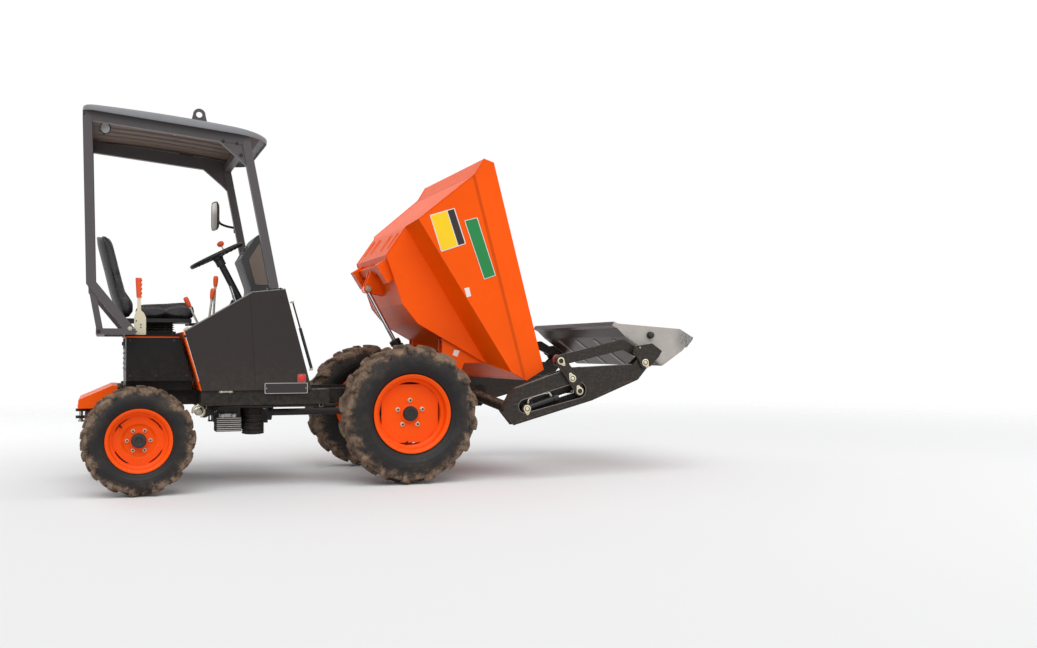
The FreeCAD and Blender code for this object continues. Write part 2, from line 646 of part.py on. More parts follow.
def seat_back():
    base = 1040 + SEAT_GAP
    outline = [(-1646, base), (-1648, 1130), (-1700, 1200), (-1780, 1520), (-1815, 1575), (-1862, 1570),
               (-1872, 1500), (-1785, 1160), (-1745, base)]
    return plate(outline, -225, 225)


def dashboard():
    """Instrument housing that stands on the cowl, its face towards the driver."""
    outline = [(-940, cowl_top(-940)), (-812, cowl_top(-812)), (-800, 1236), (-868, 1560), (-886, 1590),
               (-905, 1570), (-1000, 1430), (-988, 1404), (-930, 1240)]
    return plate(outline, -190, 190)


def steering_column():
    foot = Vector(*WHEEL_CENTRE) - WHEEL_AXIS * 383
    tip = Vector(*WHEEL_CENTRE) - WHEEL_AXIS * 34
    boss = tip - WHEEL_AXIS * 40
    reach = PANEL_HALF - WALL - SEAT_GAP
    return joined([Part.makeCylinder(22, (boss - foot).Length, foot, boss - foot),
                   Part.makeCylinder(30, 40, boss, WHEEL_AXIS), pin((foot.x, foot.z), -reach, reach, 14)])


def steering_wheel():
    """Rim, three spokes and hub, with the spinner knob."""
    rim_ring = Part.makeTorus(172, 13)
    pieces = [rim_ring, Part.makeCylinder(34, 34 - SEAT_GAP - 7, Vector(0, 0, -34 + SEAT_GAP))]
    for i in range(3):
        spoke = Part.makeBox(172, 22, 8, Vector(0, -11, -16))
        spoke.rotate(Vector(0, 0, 0), Vector(0, 0, 1), 60 + 120 * i)
        pieces.append(spoke)
    pieces.append(Part.makeCylinder(6, 40, Vector(-20, 168, 8)))
    pieces.append(Part.makeCylinder(19, 34, Vector(-20, 168, 34)))
    wheel = joined(pieces)
    wheel.rotate(Vector(0, 0, 0), Vector(0, 1, 0), -math.degrees(math.atan2(0.462, 0.887)))
    wheel.translate(Vector(*WHEEL_CENTRE))
    return wheel


def control_levers():
    """Three hand levers with grips, on a stand at the driver's right."""
    pieces = [box(-1256, -1150, -345, -255, 606 + SEAT_GAP, 960)]
    # base x, y, tip x, z
    for x, y, tip_x, tip_z in ((-1244, -300, -1318, 1170), (-1215, -325, -1190, 1220), (-1180, -280, -1165, 1300)):
        pieces.append(tube((x, y, 940), (tip_x, y, tip_z - 60), 7))
        run = Vector(tip_x - x, 0, tip_z - 60 - 940).normalize()
        pieces.append(Part.makeCylinder(15, 72, Vector(tip_x, y, tip_z - 66), run))
    return joined(pieces)


def brake_lever():
    """Parking brake: an upright flat lever and its grip, beside the seat."""
    y = BRAKE_LEVER_INSET - BOX_HALF
    pieces = [box(-1634, -1570, y - 18, y + 18, BOX_TOP + 9 + SEAT_GAP, 975),
              plate([(-1632, 960), (-1588, 960), (-1600, 1130), (-1630, 1130)], y - 9, y + 9),
              tube((-1616, y, 1120), (-1622, y, 1278), 15)]
    return joined(pieces)


def mirror_arm():
    post = POST_HALF + POST / 2 + SEAT_GAP
    return joined([tube((-935, post, 1705), (-935, post + 6, 1705), 18), tube((-935, post + 3, 1705), (-925, 640, 1712), 9),
                   tube((-925, 640, 1712), (-1045, 655, 1735), 9), tube((-1045, 655, 1735), (-1070, 655, 1800), 9)])


def mirror_head():
    outline = [(-1082, 1690), (-1066, 1690), (-1060, 1795), (-1066, 1900), (-1082, 1900), (-1092, 1795)]
    return plate(outline, 590, 720).cut(tube((-1045, 655, 1735), (-1070, 655, 1800), 9 + SEAT_GAP))


def tail_lamp(side):
    back = REAR_END - AFT
    return box(back - 34, back - SEAT_GAP, side * 250 - 50, side * 250 + 50, 420, 480)


# Skip

def front_slope_x(z):
    run = (SKIP_LIP[0] - SKIP_FRONT_LOW[0]) / (SKIP_LIP[1] - SKIP_FRONT_LOW[1])
    return SKIP_FRONT_LOW[0] + run * (z - SKIP_FRONT_LOW[1])


def skip_layer(lower, upper):
    """A solid between two four-cornered rings: rear right, front right, front left, rear left.

    Its front and rear are flat, and each side is two triangles that meet on the diagonal."""
    faces = [face_of(lower[::-1]), face_of(upper)]
    for i, j in ((1, 2), (3, 0)):
        faces.append(face_of([lower[i], lower[j], upper[j], upper[i]]))
    for i, j in ((0, 1), (2, 3)):
        near, far = (i, j) if i == 0 else (j, i)
        faces.append(face_of([lower[near], lower[far], upper[near]]))
        faces.append(face_of([lower[far], upper[far], upper[near]]))
    return solid_of(faces)


def skip_body(inset):
    """The skip as a solid, or what it holds when it is drawn in by its sheet."""
    lift = 0 if inset == 0 else 1
    tub = [(SKIP_REAR_LOW[0] + inset, SKIP_REAR_LOW[1] + inset * 1.1), (SKIP_BOTTOM[0], SKIP_BOTTOM[1] + inset),
           (SKIP_FRONT_LOW[0] - inset * 0.4, SKIP_FRONT_LOW[1] + inset),
           (front_slope_x(FOLD_B) - inset * 1.9, FOLD_B + lift), (SKIP_REAR_FOLD + inset, FOLD_B + lift)]
    pieces = [plate(tub, -TUB_HALF + inset, TUB_HALF - inset)]
    lean = (SKIP_CREASE_REAR[0] - SKIP_REAR_FOLD) / (SKIP_CREASE_REAR[1] - FOLD_B)
    rear_a = SKIP_REAR_FOLD + lean * (FOLD_A - FOLD_B)
    front_b, front_a = front_slope_x(FOLD_B) - inset * 1.9, front_slope_x(FOLD_A) - inset * 1.9
    step = inset * 1.2
    ring_b = ring_of_corners(SKIP_REAR_FOLD + inset, TUB_HALF - inset, FOLD_B + lift,
                             front_b, TUB_HALF - inset, FOLD_B + lift)
    ring_a = ring_of_corners(rear_a + inset, FOLD_REAR_HALF - inset, FOLD_A + step,
                             front_a, FOLD_FRONT_HALF - inset, FOLD_A + step)
    ring_c = ring_of_corners(SKIP_CREASE_REAR[0] + inset, RIM_HALF - inset, SKIP_CREASE_REAR[1],
                             SKIP_LIP[0] - inset, RIM_HALF - inset, SKIP_LIP[1] + 2 * lift)
    pieces += [skip_layer(ring_b, ring_a), skip_layer(ring_a, ring_c)]
    crest = 30 * lift
    rim_band = [(SKIP_CREASE_REAR[0] + inset, SKIP_CREASE_REAR[1]), (SKIP_LIP[0] - inset, SKIP_LIP[1] + 2 * lift),
                (SKIP_RIM_FRONT[0] - inset, SKIP_RIM_FRONT[1] + crest), (SKIP_RIM_REAR[0] + inset, SKIP_RIM_REAR[1] + crest),
                (SKIP_CHAMFER[0] + inset, SKIP_CHAMFER[1])]
    pieces.append(plate(rim_band, -RIM_HALF + inset, RIM_HALF - inset))
    return joined(pieces)


def tipped(shape):
    """From the lowered place of the skip to its tipped one."""
    shape.rotate(Vector(HINGE[0], 0, HINGE[1]), Vector(0, 1, 0), TIP_ANGLE)
    return shape


def skip_shell():
    return tipped(skip_body(0).cut(skip_body(WALL)))


def skip_underframe():
    """What is welded below the skip: hinge ears, feet that come down on the rails, ram bracket."""
    pieces = []
    slope = [swung(p, HINGE, -TIP_ANGLE) for p in (SKIP_FRONT_LOW, SKIP_LIP)]

    def on_slope(x, drop):
        share = (x - slope[0][0]) / (slope[1][0] - slope[0][0])
        return (x, slope[0][1] + share * (slope[1][1] - slope[0][1]) - drop)

    for side in (-1, 1):
        for inner in (RAIL_IN - 16, RAIL_OUT + 4):
            ys = sorted((side * inner, side * (inner + 12)))
            ear = [on_slope(277, 1), (277, 804), (341, 690), (399, 690), (430, 757), on_slope(572, 1)]
            ears = joined([plate(ear, *ys), pin(HINGE, ys[0], ys[1], 30)])
            pieces.append(ears.cut(pin(HINGE, ys[0] - 1, ys[1] + 1, HINGE_PIN_R + PIN_GAP)))
    lowered = []
    for side in (-1, 1):
        ys = sorted((side * 300, side * 396))
        foot = [(-520, 606), (-384, 606), (-384, under_skip(-384)), (-520, under_skip(-520))]
        lowered.append(plate(foot, *ys))
    bar = [(-505, 640), (-452, 640), (-452, under_skip(-452)), (-505, under_skip(-505))]
    lowered.append(plate(bar, -300, 300))
    eye = swung(TIP_EYE, HINGE, TIP_ANGLE)
    for side in (-1, 1):
        gap = TIP_ROD["width"] / 2 + SIDE_GAP
        ys = sorted((side * gap, side * (gap + 12)))
        root = [(-520, under_skip(-520)), (-290, under_skip(-290)), (eye[0] + 26, eye[1] - 4), (eye[0] - 26, eye[1] - 4)]
        lowered.append(joined([plate(root, *ys), pin(eye, ys[0], ys[1], 28),
                               pin(eye, side * (gap - 2), side * (gap + 24), 14)]))
    return group(pieces + [joined([tipped(p) for p in lowered])])


def under_skip(x):
    """Height of the lowered skip's underside, rear part, less the seat gap."""
    share = (x - SKIP_REAR_LOW[0]) / (SKIP_BOTTOM[0] - SKIP_REAR_LOW[0])
    return SKIP_REAR_LOW[1] + share * (SKIP_BOTTOM[1] - SKIP_REAR_LOW[1]) - SEAT_GAP


# Hydraulic rams

def ram_barrel(size, rod, base, eye, y, pin_r):
    """Cylinder tube with its base eye and gland, along the line to the rod's eye."""
    start, end = Vector(base[0], y, base[1]), Vector(eye[0], y, eye[1])
    run = (end - start).normalize()
    neck = start + run * (size["eye"] + 8)
    length = size["length"] - size["eye"] - 8
    shape = joined([pin(base, y - size["width"] / 2, y + size["width"] / 2, size["eye"]),
                    Part.makeCylinder(size["radius"] * 0.7, size["eye"] + 14, start, run),
                    Part.makeCylinder(size["radius"], length, neck, run),
                    Part.makeCylinder(size["radius"] + 3, 34, start + run * (size["length"] - 34), run)])
    bore = Part.makeCylinder(rod["radius"] + RAM_FIT, length, neck + run * 12, run)
    return shape.cut(bore).cut(pin(base, y - 60, y + 60, pin_r + PIN_GAP))


def ram_rod(size, barrel, base, eye, y, bore):
    """Piston rod and its eye, the inner end well inside the tube."""
    start, end = Vector(base[0], y, base[1]), Vector(eye[0], y, eye[1])
    run = (end - start).normalize()
    tail = start + run * (barrel["eye"] + 8 + 12 + barrel["stroke"])
    shape = joined([Part.makeCylinder(size["radius"], (end - tail).Length, tail, run),
                    pin(eye, y - size["width"] / 2, y + size["width"] / 2, size["eye"])])
    return shape.cut(pin(eye, y - 60, y + 60, bore)) if bore else shape


# Loading arms and shovel

def arm_outline():
    return [(572, 452), (654, 599), (920, 687), (1000, 712), (1040, 738), (1062, 728), (1502, 749), (1560, 800),
            (1610, 795), (1632, 760), (1606, 722), (1539, 645), (1199, 511), (647, 361)]


def slot_shape(y0, y1):
    return rounded_bar((724, 482), (1103, 580), y0, y1, 44, 52)


def loader_arms():
    """Torque tube, cranked side tubes, and on each side a box arm of two plates with a long slot."""
    pieces = [pin(ARM_PIVOT, -450, 450, TORQUE_TUBE)]
    for side in (-1, 1):
        knee = (ARM_PIVOT[0], side * 440, ARM_PIVOT[1])
        pieces.append(tube(knee, (632, side * ARM_INNER[1], 470), TORQUE_TUBE - 2))
        pieces.append(Part.makeSphere(TORQUE_TUBE, Vector(*knee)))
        for near, far in (ARM_INNER, ARM_OUTER):
            ys = sorted((side * near, side * far))
            sheet = plate(arm_outline(), *ys)
            if near == ARM_OUTER[0]:
                sheet = sheet.cut(slot_shape(ys[0] - 1, ys[1] + 1))
            pieces.append(sheet)
        ys = sorted((side * (ARM_INNER[1] - 1), side * (ARM_OUTER[0] + 1)))
        for path in ([(578, 452), (650, 369), (1199, 517), (1536, 651), (1590, 712)], [(582, 458), (657, 592), (905, 675)],
                     [(1120, 728), (1480, 741)]):
            pieces.append(plate(band(path, 8), *ys))
        for place, radius in ((TILT_BASE, LOADER_PIN - 3), (LEVER_PIVOT, LOADER_PIN), (SHOVEL_PIVOT, LOADER_PIN)):
            ys = sorted((side * (ARM_INNER[1] - 2), side * (ARM_OUTER[1] + (2 if place == TILT_BASE else 19))))
            pieces.append(pin(place, ys[0], ys[1], radius))
        for face in (-1, 1):
            middle = side * LIFT_Y + face * (LIFT_ROD["width"] / 2 + SIDE_GAP + 5)
            pieces.append(rounded_bar(ARM_PIVOT, LIFT_EYE, middle - 5, middle + 5, 46, 26))
    return joined(pieces)


def tilt_lever(side):
    """Three-hole lever on the outside of the arm, with the pins of the rod and of the upper link."""
    ys = sorted((side * LEVER_BAR[0], side * LEVER_BAR[1]))
    bar = joined([rounded_bar(LEVER_TOP, LEVER_PIVOT, ys[0], ys[1], 36, 36),
                  rounded_bar(LEVER_PIVOT, LEVER_ROD, ys[0], ys[1], 36, 32)])
    bar = bar.cut(pin(LEVER_PIVOT, ys[0] - 1, ys[1] + 1, LOADER_PIN + PIN_GAP))
    rod_pin = pin(LEVER_ROD, side * (ARM_MIDDLE - 24), side * (LEVER_BAR[1] + 5), LOADER_PIN - 3)
    top_pin = pin(LEVER_TOP, side * (ARM_MIDDLE - 20), side * (LEVER_BAR[1] + 5), LOADER_PIN)
    return joined([bar, rod_pin, top_pin])


def tilt_link(side):
    """Upper link from the lever to the shovel, cranked down at its front end."""
    ys = sorted((side * (ARM_MIDDLE - LINK_HALF), side * (ARM_MIDDLE + LINK_HALF)))
    bend = (1442, 880)
    body = joined([rounded_bar(LEVER_TOP, bend, ys[0], ys[1], 34, 34),
                   rounded_bar(bend, SHOVEL_LINK, ys[0], ys[1], 34, 30)])
    return body.cut(pin(LEVER_TOP, ys[0] - 1, ys[1] + 1, LOADER_PIN + PIN_GAP))


def shovel_profile():
    return [SHOVEL_TOP, SHOVEL_KINK, SHOVEL_HEEL, SHOVEL_TOE, SHOVEL_TIP, SHOVEL_CORNER]


def shovel_shell():
    """Open trough: two cheeks and one bent sheet from the back's top edge to the cutting edge."""
    t = SHOVEL_PLATE
    sheet = plate(band([SHOVEL_TOP, SHOVEL_KINK, SHOVEL_HEEL, SHOVEL_TOE, (1966, 907)], t), -SHOVEL_HALF, SHOVEL_HALF)
    pieces = [sheet]
    for side in (-1, 1):
        ys = sorted((side * SHOVEL_HALF, side * (SHOVEL_HALF - t)))
        pieces.append(plate(shovel_profile(), *ys))
    pieces.append(plate(band([(1386, 1022), (1420, 1006)], 30), -SHOVEL_HALF + 1, SHOVEL_HALF - 1))
    return joined(pieces)


def cutting_edge():
    """Hard wearing blade bolted below the front of the shovel's floor, its lip proud of the sheet."""
    toe, tip = Vector(*SHOVEL_TOE), Vector(*SHOVEL_TIP)
    run = (tip - toe).normalize()
    down = Vector(run.y, -run.x)
    near = SHOVEL_PLATE / 2 + SEAT_GAP
    corners = [toe + run * 30 + down * near, toe + run * 36 + down * (near + 10), tip - run * 12 + down * (near + 10),
               tip + run * 6 + down * near]
    return plate([(p.x, p.y) for p in corners], -SHOVEL_HALF - 2, SHOVEL_HALF + 2)


def shovel_brackets():
    """Side brackets that carry the shovel on the arm and the upper link, with stop bosses."""
    pieces = []
    for side in (-1, 1):
        ys = sorted((side * LEVER_BAR[0], side * LEVER_BAR[1]))
        outline = [(1500, 850), (1528, 872), (1640, 888), (1712, 838), (1690, 800), (1625, 735), (1586, 722),
                   (1556, 740)]
        sheet = joined([plate(outline, *ys), pin(SHOVEL_LINK, ys[0], ys[1], 34), pin(SHOVEL_PIVOT, ys[0], ys[1], 38)])
        sheet = sheet.cut(pin(SHOVEL_PIVOT, ys[0] - 1, ys[1] + 1, LOADER_PIN + PIN_GAP))
        pieces.append(sheet)
        pieces.append(pin(SHOVEL_LINK, side * (LEVER_BAR[0] + 1), side * (LEVER_BAR[1] + 5), LOADER_PIN))
        ys = sorted((side * (SHOVEL_HALF + SEAT_GAP), side * (LEVER_BAR[0] + 1)))
        pieces.append(plate([(1640, 884), (1706, 838), (1688, 804), (1655, 815), (1622, 850)], *ys))
    rights = joined(pieces[:3])
    lefts = joined(pieces[3:])
    return group([rights, lefts])


def both_sides(make, offset):
    """The same piece on both sides of the machine, in one node."""
    return group([make(-offset), make(offset)])


ON_AXLES = ("tyre_front_right", "tyre_front_left", "tyre_rear_right", "tyre_rear_left", "rim_front_right",
            "rim_front_left", "rim_rear_right", "rim_rear_left", "knuckle_right", "knuckle_left", "front_axle",
            "rear_axle", "tie_rod")
ON_LOADER = ("loader_arms", "tilt_ram_barrels", "tilt_ram_rods", "tilt_levers", "tilt_links", "shovel_shell",
             "cutting_edge", "shovel_brackets")
ON_STATION = ("entry_step", "tow_hitch", "rear_cover", "engine_block", "transmission", "hydraulic_unit", "seat_box",
              "seat_box_lid", "bulkhead", "seat_base", "seat_cushion", "seat_back", "control_levers", "brake_lever",
              "tail_lamps")
ON_COWL = ("side_panel_right", "side_panel_left", "cowl", "floor_plate", "rops_frame", "canopy", "dashboard",
           "steering_column", "steering_wheel", "mirror_arm", "mirror_head")


def build():
    nodes = {}
    front = (0, FRONT_TYRE["radius"])
    rear = (-WHEELBASE, REAR_TYRE["radius"])
    for name, side in (("right", -1), ("left", 1)):
        nodes["tyre_front_" + name] = tyre(FRONT_TYRE, FRONT_RIM, front, side)
        nodes["tyre_rear_" + name] = tyre(REAR_TYRE, REAR_RIM, rear, side)
        nodes["rim_front_" + name] = rim(FRONT_RIM, front, side, FRONT_TYRE["centre"], FRONT_SPINDLE)
        nodes["rim_rear_" + name] = rim(REAR_RIM, rear, side, REAR_TYRE["centre"], REAR_SPINDLE)
        nodes["knuckle_" + name] = knuckle(side)
        nodes["side_panel_" + name] = side_panel(side)
    nodes["front_axle"] = front_axle()
    nodes["rear_axle"] = rear_axle()
    nodes["tie_rod"] = tie_rod()
    nodes["chassis_frame"] = chassis_frame()
    nodes["entry_step"] = entry_step()
    nodes["tow_hitch"] = tow_hitch()
    nodes["rear_cover"] = rear_cover()
    nodes["engine_block"] = engine_block()
    nodes["transmission"] = transmission()
    nodes["hydraulic_unit"] = hydraulic_unit()
    nodes["seat_box"] = seat_box()
    nodes["seat_box_lid"] = seat_box_lid()
    nodes["bulkhead"] = bulkhead()
    nodes["cowl"] = cowl()
    nodes["floor_plate"] = floor_plate()
    nodes["rops_frame"] = rops_frame()
    nodes["canopy"] = canopy()
    nodes["seat_base"] = seat_base()
    nodes["seat_cushion"] = seat_cushion()
    nodes["seat_back"] = seat_back()
    nodes["dashboard"] = dashboard()
    nodes["steering_column"] = steering_column()
    nodes["steering_wheel"] = steering_wheel()
    nodes["control_levers"] = control_levers()
    nodes["brake_lever"] = brake_lever()
    nodes["mirror_arm"] = mirror_arm()
    nodes["mirror_head"] = mirror_head()
    nodes["tail_lamps"] = group([tail_lamp(-1), tail_lamp(1)])
    nodes["skip_shell"] = skip_shell()
    nodes["skip_underframe"] = skip_underframe()
    nodes["tip_ram_barrel"] = ram_barrel(TIP_BARREL, TIP_ROD, TIP_BASE, TIP_EYE, 0, 12)
    nodes["tip_ram_rod"] = ram_rod(TIP_ROD, TIP_BARREL, TIP_BASE, TIP_EYE, 0, 0)
    nodes["loader_arms"] = loader_arms()
    lift_eye = (LIFT_EYE[0] + AHEAD, LIFT_EYE[1])
    nodes["lift_ram_barrels"] = both_sides(lambda y: ram_barrel(LIFT_BARREL, LIFT_ROD, LIFT_BASE, lift_eye, y, 11), LIFT_Y)
    nodes["lift_ram_rods"] = both_sides(lambda y: ram_rod(LIFT_ROD, LIFT_BARREL, LIFT_BASE, lift_eye, y, 0), LIFT_Y)
    nodes["tilt_ram_barrels"] = both_sides(
        lambda y: ram_barrel(TILT_BARREL, TILT_ROD, TILT_BASE, LEVER_ROD, y, LOADER_PIN - 3), ARM_MIDDLE)
    nodes["tilt_ram_rods"] = both_sides(
        lambda y: ram_rod(TILT_ROD, TILT_BARREL, TILT_BASE, LEVER_ROD, y, LOADER_PIN - 3 + 5), ARM_MIDDLE)
    nodes["tilt_levers"] = both_sides(tilt_lever, 1)
    nodes["tilt_links"] = both_sides(tilt_link, 1)
    nodes["shovel_shell"] = shovel_shell()
    nodes["cutting_edge"] = cutting_edge()
    nodes["shovel_brackets"] = shovel_brackets()
    for name, shape in nodes.items():
        along = AHEAD * (name in ON_LOADER) + AFT * (name in ON_STATION) + FORE * (name in ON_COWL)
        shape.translate(Vector(along, 0, RISE * (name not in ON_AXLES)))
    return nodes


def main():
    os.makedirs("parts", exist_ok=True)
    for name, shape in build().items():
        shape.exportStep("parts/" + name + ".step")
        solids = len(shape.Solids)
        print(f"{name:24s} solids {solids} valid {shape.isValid()} volume {shape.Volume / 1e6:9.3f} litres")


if __name__ == "__main__":
    main()
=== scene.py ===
# %% [markdown]
# Site dumper with a tipping skip and a self-loading shovel.
#
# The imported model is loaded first, as a fixed frame: every rigid piece already sits where it
# belongs, in metres, with the front axle over the origin, +X forwards, +Y to the driver's left and
# +Z up. What follows gives those pieces their finishes and adds what a rigid model leaves out:
# rounded tyres, stuffed seat cushions, bolts, weld seams, hoses, grips and blank plates.

# %% Load the frame
import math

import bpy
import numpy as np
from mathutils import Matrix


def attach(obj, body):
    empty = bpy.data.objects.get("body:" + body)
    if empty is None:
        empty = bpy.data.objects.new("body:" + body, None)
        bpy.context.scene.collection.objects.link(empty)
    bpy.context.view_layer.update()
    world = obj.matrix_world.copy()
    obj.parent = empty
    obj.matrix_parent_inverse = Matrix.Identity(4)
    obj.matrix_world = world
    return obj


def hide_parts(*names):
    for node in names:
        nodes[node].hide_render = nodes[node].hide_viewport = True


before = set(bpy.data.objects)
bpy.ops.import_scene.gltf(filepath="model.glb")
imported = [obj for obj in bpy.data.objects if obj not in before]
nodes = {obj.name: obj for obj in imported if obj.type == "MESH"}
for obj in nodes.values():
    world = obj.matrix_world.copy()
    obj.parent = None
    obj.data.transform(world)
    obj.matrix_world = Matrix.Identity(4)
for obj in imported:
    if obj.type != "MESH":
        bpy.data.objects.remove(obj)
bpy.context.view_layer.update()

# %% [markdown]
# The camera comes before any piece, so that each render can be laid beside the photograph. The
# place and the turn were worked out from the four wheels and the roof: it stands to the right of
# the machine, a little behind its middle, at about chest height, turned 21 degrees forwards.

# %% Camera
CAMERA_PLACE = (-1.814, -7.271, 0.844)
CAMERA_TURN = 21.0
CAMERA_RISE = 1.38
LENS = 37.5
camera_data = bpy.data.cameras.new("camera")
camera_data.lens = LENS
camera_data.sensor_width = 36.0
camera = bpy.data.objects.new("camera", camera_data)
camera.location = CAMERA_PLACE
camera.rotation_euler = (math.radians(90 + CAMERA_RISE), 0, math.radians(-CAMERA_TURN))
bpy.context.scene.collection.objects.link(camera)
bpy.context.scene.camera = camera
print("camera", CAMERA_PLACE, "lens", LENS)

# %% [markdown]
# A shader is easier to read as a sum than as a tangle of wires. The small class below wraps one
# output socket, so that `1 - mask` or `noise * 0.2 + 0.4` makes the Math nodes by itself. Colours
# are blended with Mix nodes, because a Math node would turn them grey.

# %% Shader expressions
class Wire:
    """One output of a node, with the operators that shader sums need."""

    def __init__(self, shader, socket):
        self.shader = shader
        self.socket = socket

    def math(self, operation, *others, first=None):
        values = [self if first is None else first, *others]
        return self.shader.node("ShaderNodeMath", {"operation": operation}, dict(enumerate(values)))

    def __add__(self, other):
        return self.math("ADD", other)

    __radd__ = __add__

    def __mul__(self, other):
        return self.math("MULTIPLY", other)

    __rmul__ = __mul__

    def __sub__(self, other):
        return self.math("SUBTRACT", other)

    def __rsub__(self, other):
        return self.math("SUBTRACT", self, first=other)

    def __truediv__(self, other):
        return self.math("DIVIDE", other)

    def __pow__(self, other):
        return self.math("POWER", other)

    def __abs__(self):
        return self.math("ABSOLUTE")

    def maximum(self, other):
        return self.math("MAXIMUM", other)

    def minimum(self, other):
        return self.math("MINIMUM", other)

    def ramp(self, low, high, to_low=0.0, to_high=1.0):
        """A smooth step from to_low at low to to_high at high; low may be the larger."""
        if low > high:
            low, high, to_low, to_high = high, low, to_high, to_low
        settings = {"interpolation_type": "SMOOTHSTEP", "clamp": True}
        inputs = {"Value": self, "From Min": low, "From Max": high, "To Min": to_low, "To Max": to_high}
        return self.shader.node("ShaderNodeMapRange", settings, inputs)


class Shader:
    """A material being wired: a place in the object, noises, colour blends and the surface."""

    def __init__(self, name):
        self.material = bpy.data.materials.new(name)
        self.material.use_nodes = True
        self.tree = self.material.node_tree
        self.tree.nodes.clear()
        self.place = self.node("ShaderNodeTexCoord", out="Object")

    def node(self, kind, settings=None, inputs=None, out=0):
        """Any node: its type, its settings, what its sockets hold, and the output wanted."""
        made = self.tree.nodes.new(kind)
        for key, value in (settings or {}).items():
            setattr(made, key, value)
        for key, value in (inputs or {}).items():
            if isinstance(value, Wire):
                self.tree.links.new(value.socket, made.inputs[key])
            else:
                made.inputs[key].default_value = value
        return Wire(self, made.outputs[out])

    def moved(self, centre=(0, 0, 0), scale=(1, 1, 1)):
        """The place in the object, measured from a centre and stretched."""
        shift = tuple(-c * s for c, s in zip(centre, scale))
        inputs = {"Vector": self.place, "Location": shift, "Scale": scale}
        return self.node("ShaderNodeMapping", {"vector_type": "POINT"}, inputs)

    def axis(self, letter, place=None):
        inputs = {"Vector": place or self.place}
        return self.node("ShaderNodeSeparateXYZ", None, inputs, out="XYZ".index(letter))

    def noise(self, scale, detail=4.0, roughness=0.55, place=None, distortion=0.0):
        inputs = {"Vector": place or self.place, "Scale": scale, "Detail": detail,
                  "Roughness": roughness, "Distortion": distortion}
        return self.node("ShaderNodeTexNoise", None, inputs)

    def cells(self, scale, place=None, feature="F1"):
        inputs = {"Vector": place or self.place, "Scale": scale}
        return self.node("ShaderNodeTexVoronoi", {"feature": feature}, inputs, out="Distance")

    def upward(self):
        """How far the surface looks up: 1 on a floor, 0 on a wall, -1 below."""
        normal = self.node("ShaderNodeNewGeometry", out="Normal")
        return self.axis("Z", normal)

    def blend(self, factor, first, second):
        """First colour where the factor is 0, second where it is 1."""
        made = self.tree.nodes.new("ShaderNodeMix")
        made.data_type = "RGBA"
        for socket, value in ((made.inputs[0], factor), (made.inputs[6], first), (made.inputs[7], second)):
            if isinstance(value, Wire):
                self.tree.links.new(value.socket, socket)
            elif socket is made.inputs[0]:
                socket.default_value = value
            else:
                socket.default_value = (*value, 1.0)
        return Wire(self, made.outputs[2])

    def bump(self, height, distance, strength=1.0, under=None):
        inputs = {"Height": height, "Distance": distance, "Strength": strength}
        if under is not None:
            inputs["Normal"] = under
        return self.node("ShaderNodeBump", None, inputs, out="Normal")

    def surface(self, colour, roughness, **sockets):
        """The finished surface. Fixed values go straight onto the shader's own sockets."""
        inputs = {"Base Color": colour if isinstance(colour, Wire) else (*colour, 1.0),
                  "Roughness": roughness}
        inputs.update({name.replace("_", " "): value for name, value in sockets.items()})
        bsdf = self.node("ShaderNodeBsdfPrincipled", None, inputs)
        self.node_output(bsdf)
        return self.material

    def node_output(self, shader):
        output = self.tree.nodes.new("ShaderNodeOutputMaterial")
        self.tree.links.new(shader.socket, output.inputs["Surface"])


def srgb(red, green, blue):
    """A colour given as 0 to 255 on a screen, as the light values that shaders use."""
    values = np.array([red, green, blue]) / 255
    linear = np.where(values <= 0.04045, values / 12.92, ((values + 0.055) / 1.055) ** 2.4)
    return tuple(float(v) for v in linear)


print("shader kit ready")

# %% [markdown]
# Paint on a working machine has three layers to get right: the colour with its slow unevenness,
# the clear gloss with a faint orange-peel ripple, and the site dust that settles on faces that
# look up and rises from the ground. One function makes them all, so that each panel differs only
# in colour, gloss and how dirty it is.

# %% Paint
DUST = srgb(150, 128, 108)
MUD_DARK = srgb(84, 68, 56)
MUD_LIGHT = srgb(146, 122, 101)


def painted(name, colour, gloss=0.35, dust=0.25, low=0.35, coat=0.0, metal=0.0, ripple=0.00008, shine=0.5,
            crease=None):
    """Paint: the dust mask is (faces that look up + nearness to the ground) times a patchy noise. A crease is a line in
    X and Z; a 2 cm band on one side of it is darkened as painted shade of the fold's step."""
    shader = Shader(name)
    slow = shader.noise(2.3, 3)
    fine = shader.noise(34, 6, 0.65)
    grain = shader.noise(420, 2)
    shade = shader.blend(slow.ramp(0.3, 0.7) * 0.55, colour, tuple(c * 0.84 for c in colour))
    shade = shader.blend(fine.ramp(0.55, 0.85) * 0.10, shade, tuple(min(1, c * 1.25 + 0.01) for c in colour))
    if crease:
        across = shader.axis("X", shader.moved((crease[0], 0, 0))) * crease[2]
        across = across + shader.axis("Z", shader.moved((0, 0, crease[1]))) * crease[3]
        # painted shade: the 2 cm band beside the crease line is darkened where the fold's step would lie in shade
        crease_shade = across.ramp(-0.026, -0.019) * across.ramp(0.004, -0.002)
        shade = shader.blend(crease_shade * (fine * 0.25 + 0.42), shade, tuple(c * 0.45 for c in colour))
    lying = shader.upward().ramp(0.35, 0.95)
    near_ground = shader.axis("Z").ramp(low + 0.45, low - 0.15)
    patches = fine.ramp(0.32, 0.72)
    mask = (lying * 0.9 + near_ground) * patches * dust
    specks = shader.cells(160).ramp(0.22, 0.08) * fine.ramp(0.5, 0.75) * dust * 0.9
    mask = (mask + specks).minimum(0.85)
    shade = shader.blend(mask, shade, DUST)
    rough = (mask * (0.9 - gloss) + gloss + (fine - 0.5) * 0.10).minimum(0.95)
    normal = shader.bump(grain, ripple, 0.5)
    normal = shader.bump(mask, 0.0004, 0.6, normal)
    return shader.surface(shade, rough, Metallic=metal, Coat_Weight=coat, Coat_Roughness=0.15, Normal=normal,
                          Specular_IOR_Level=shine)


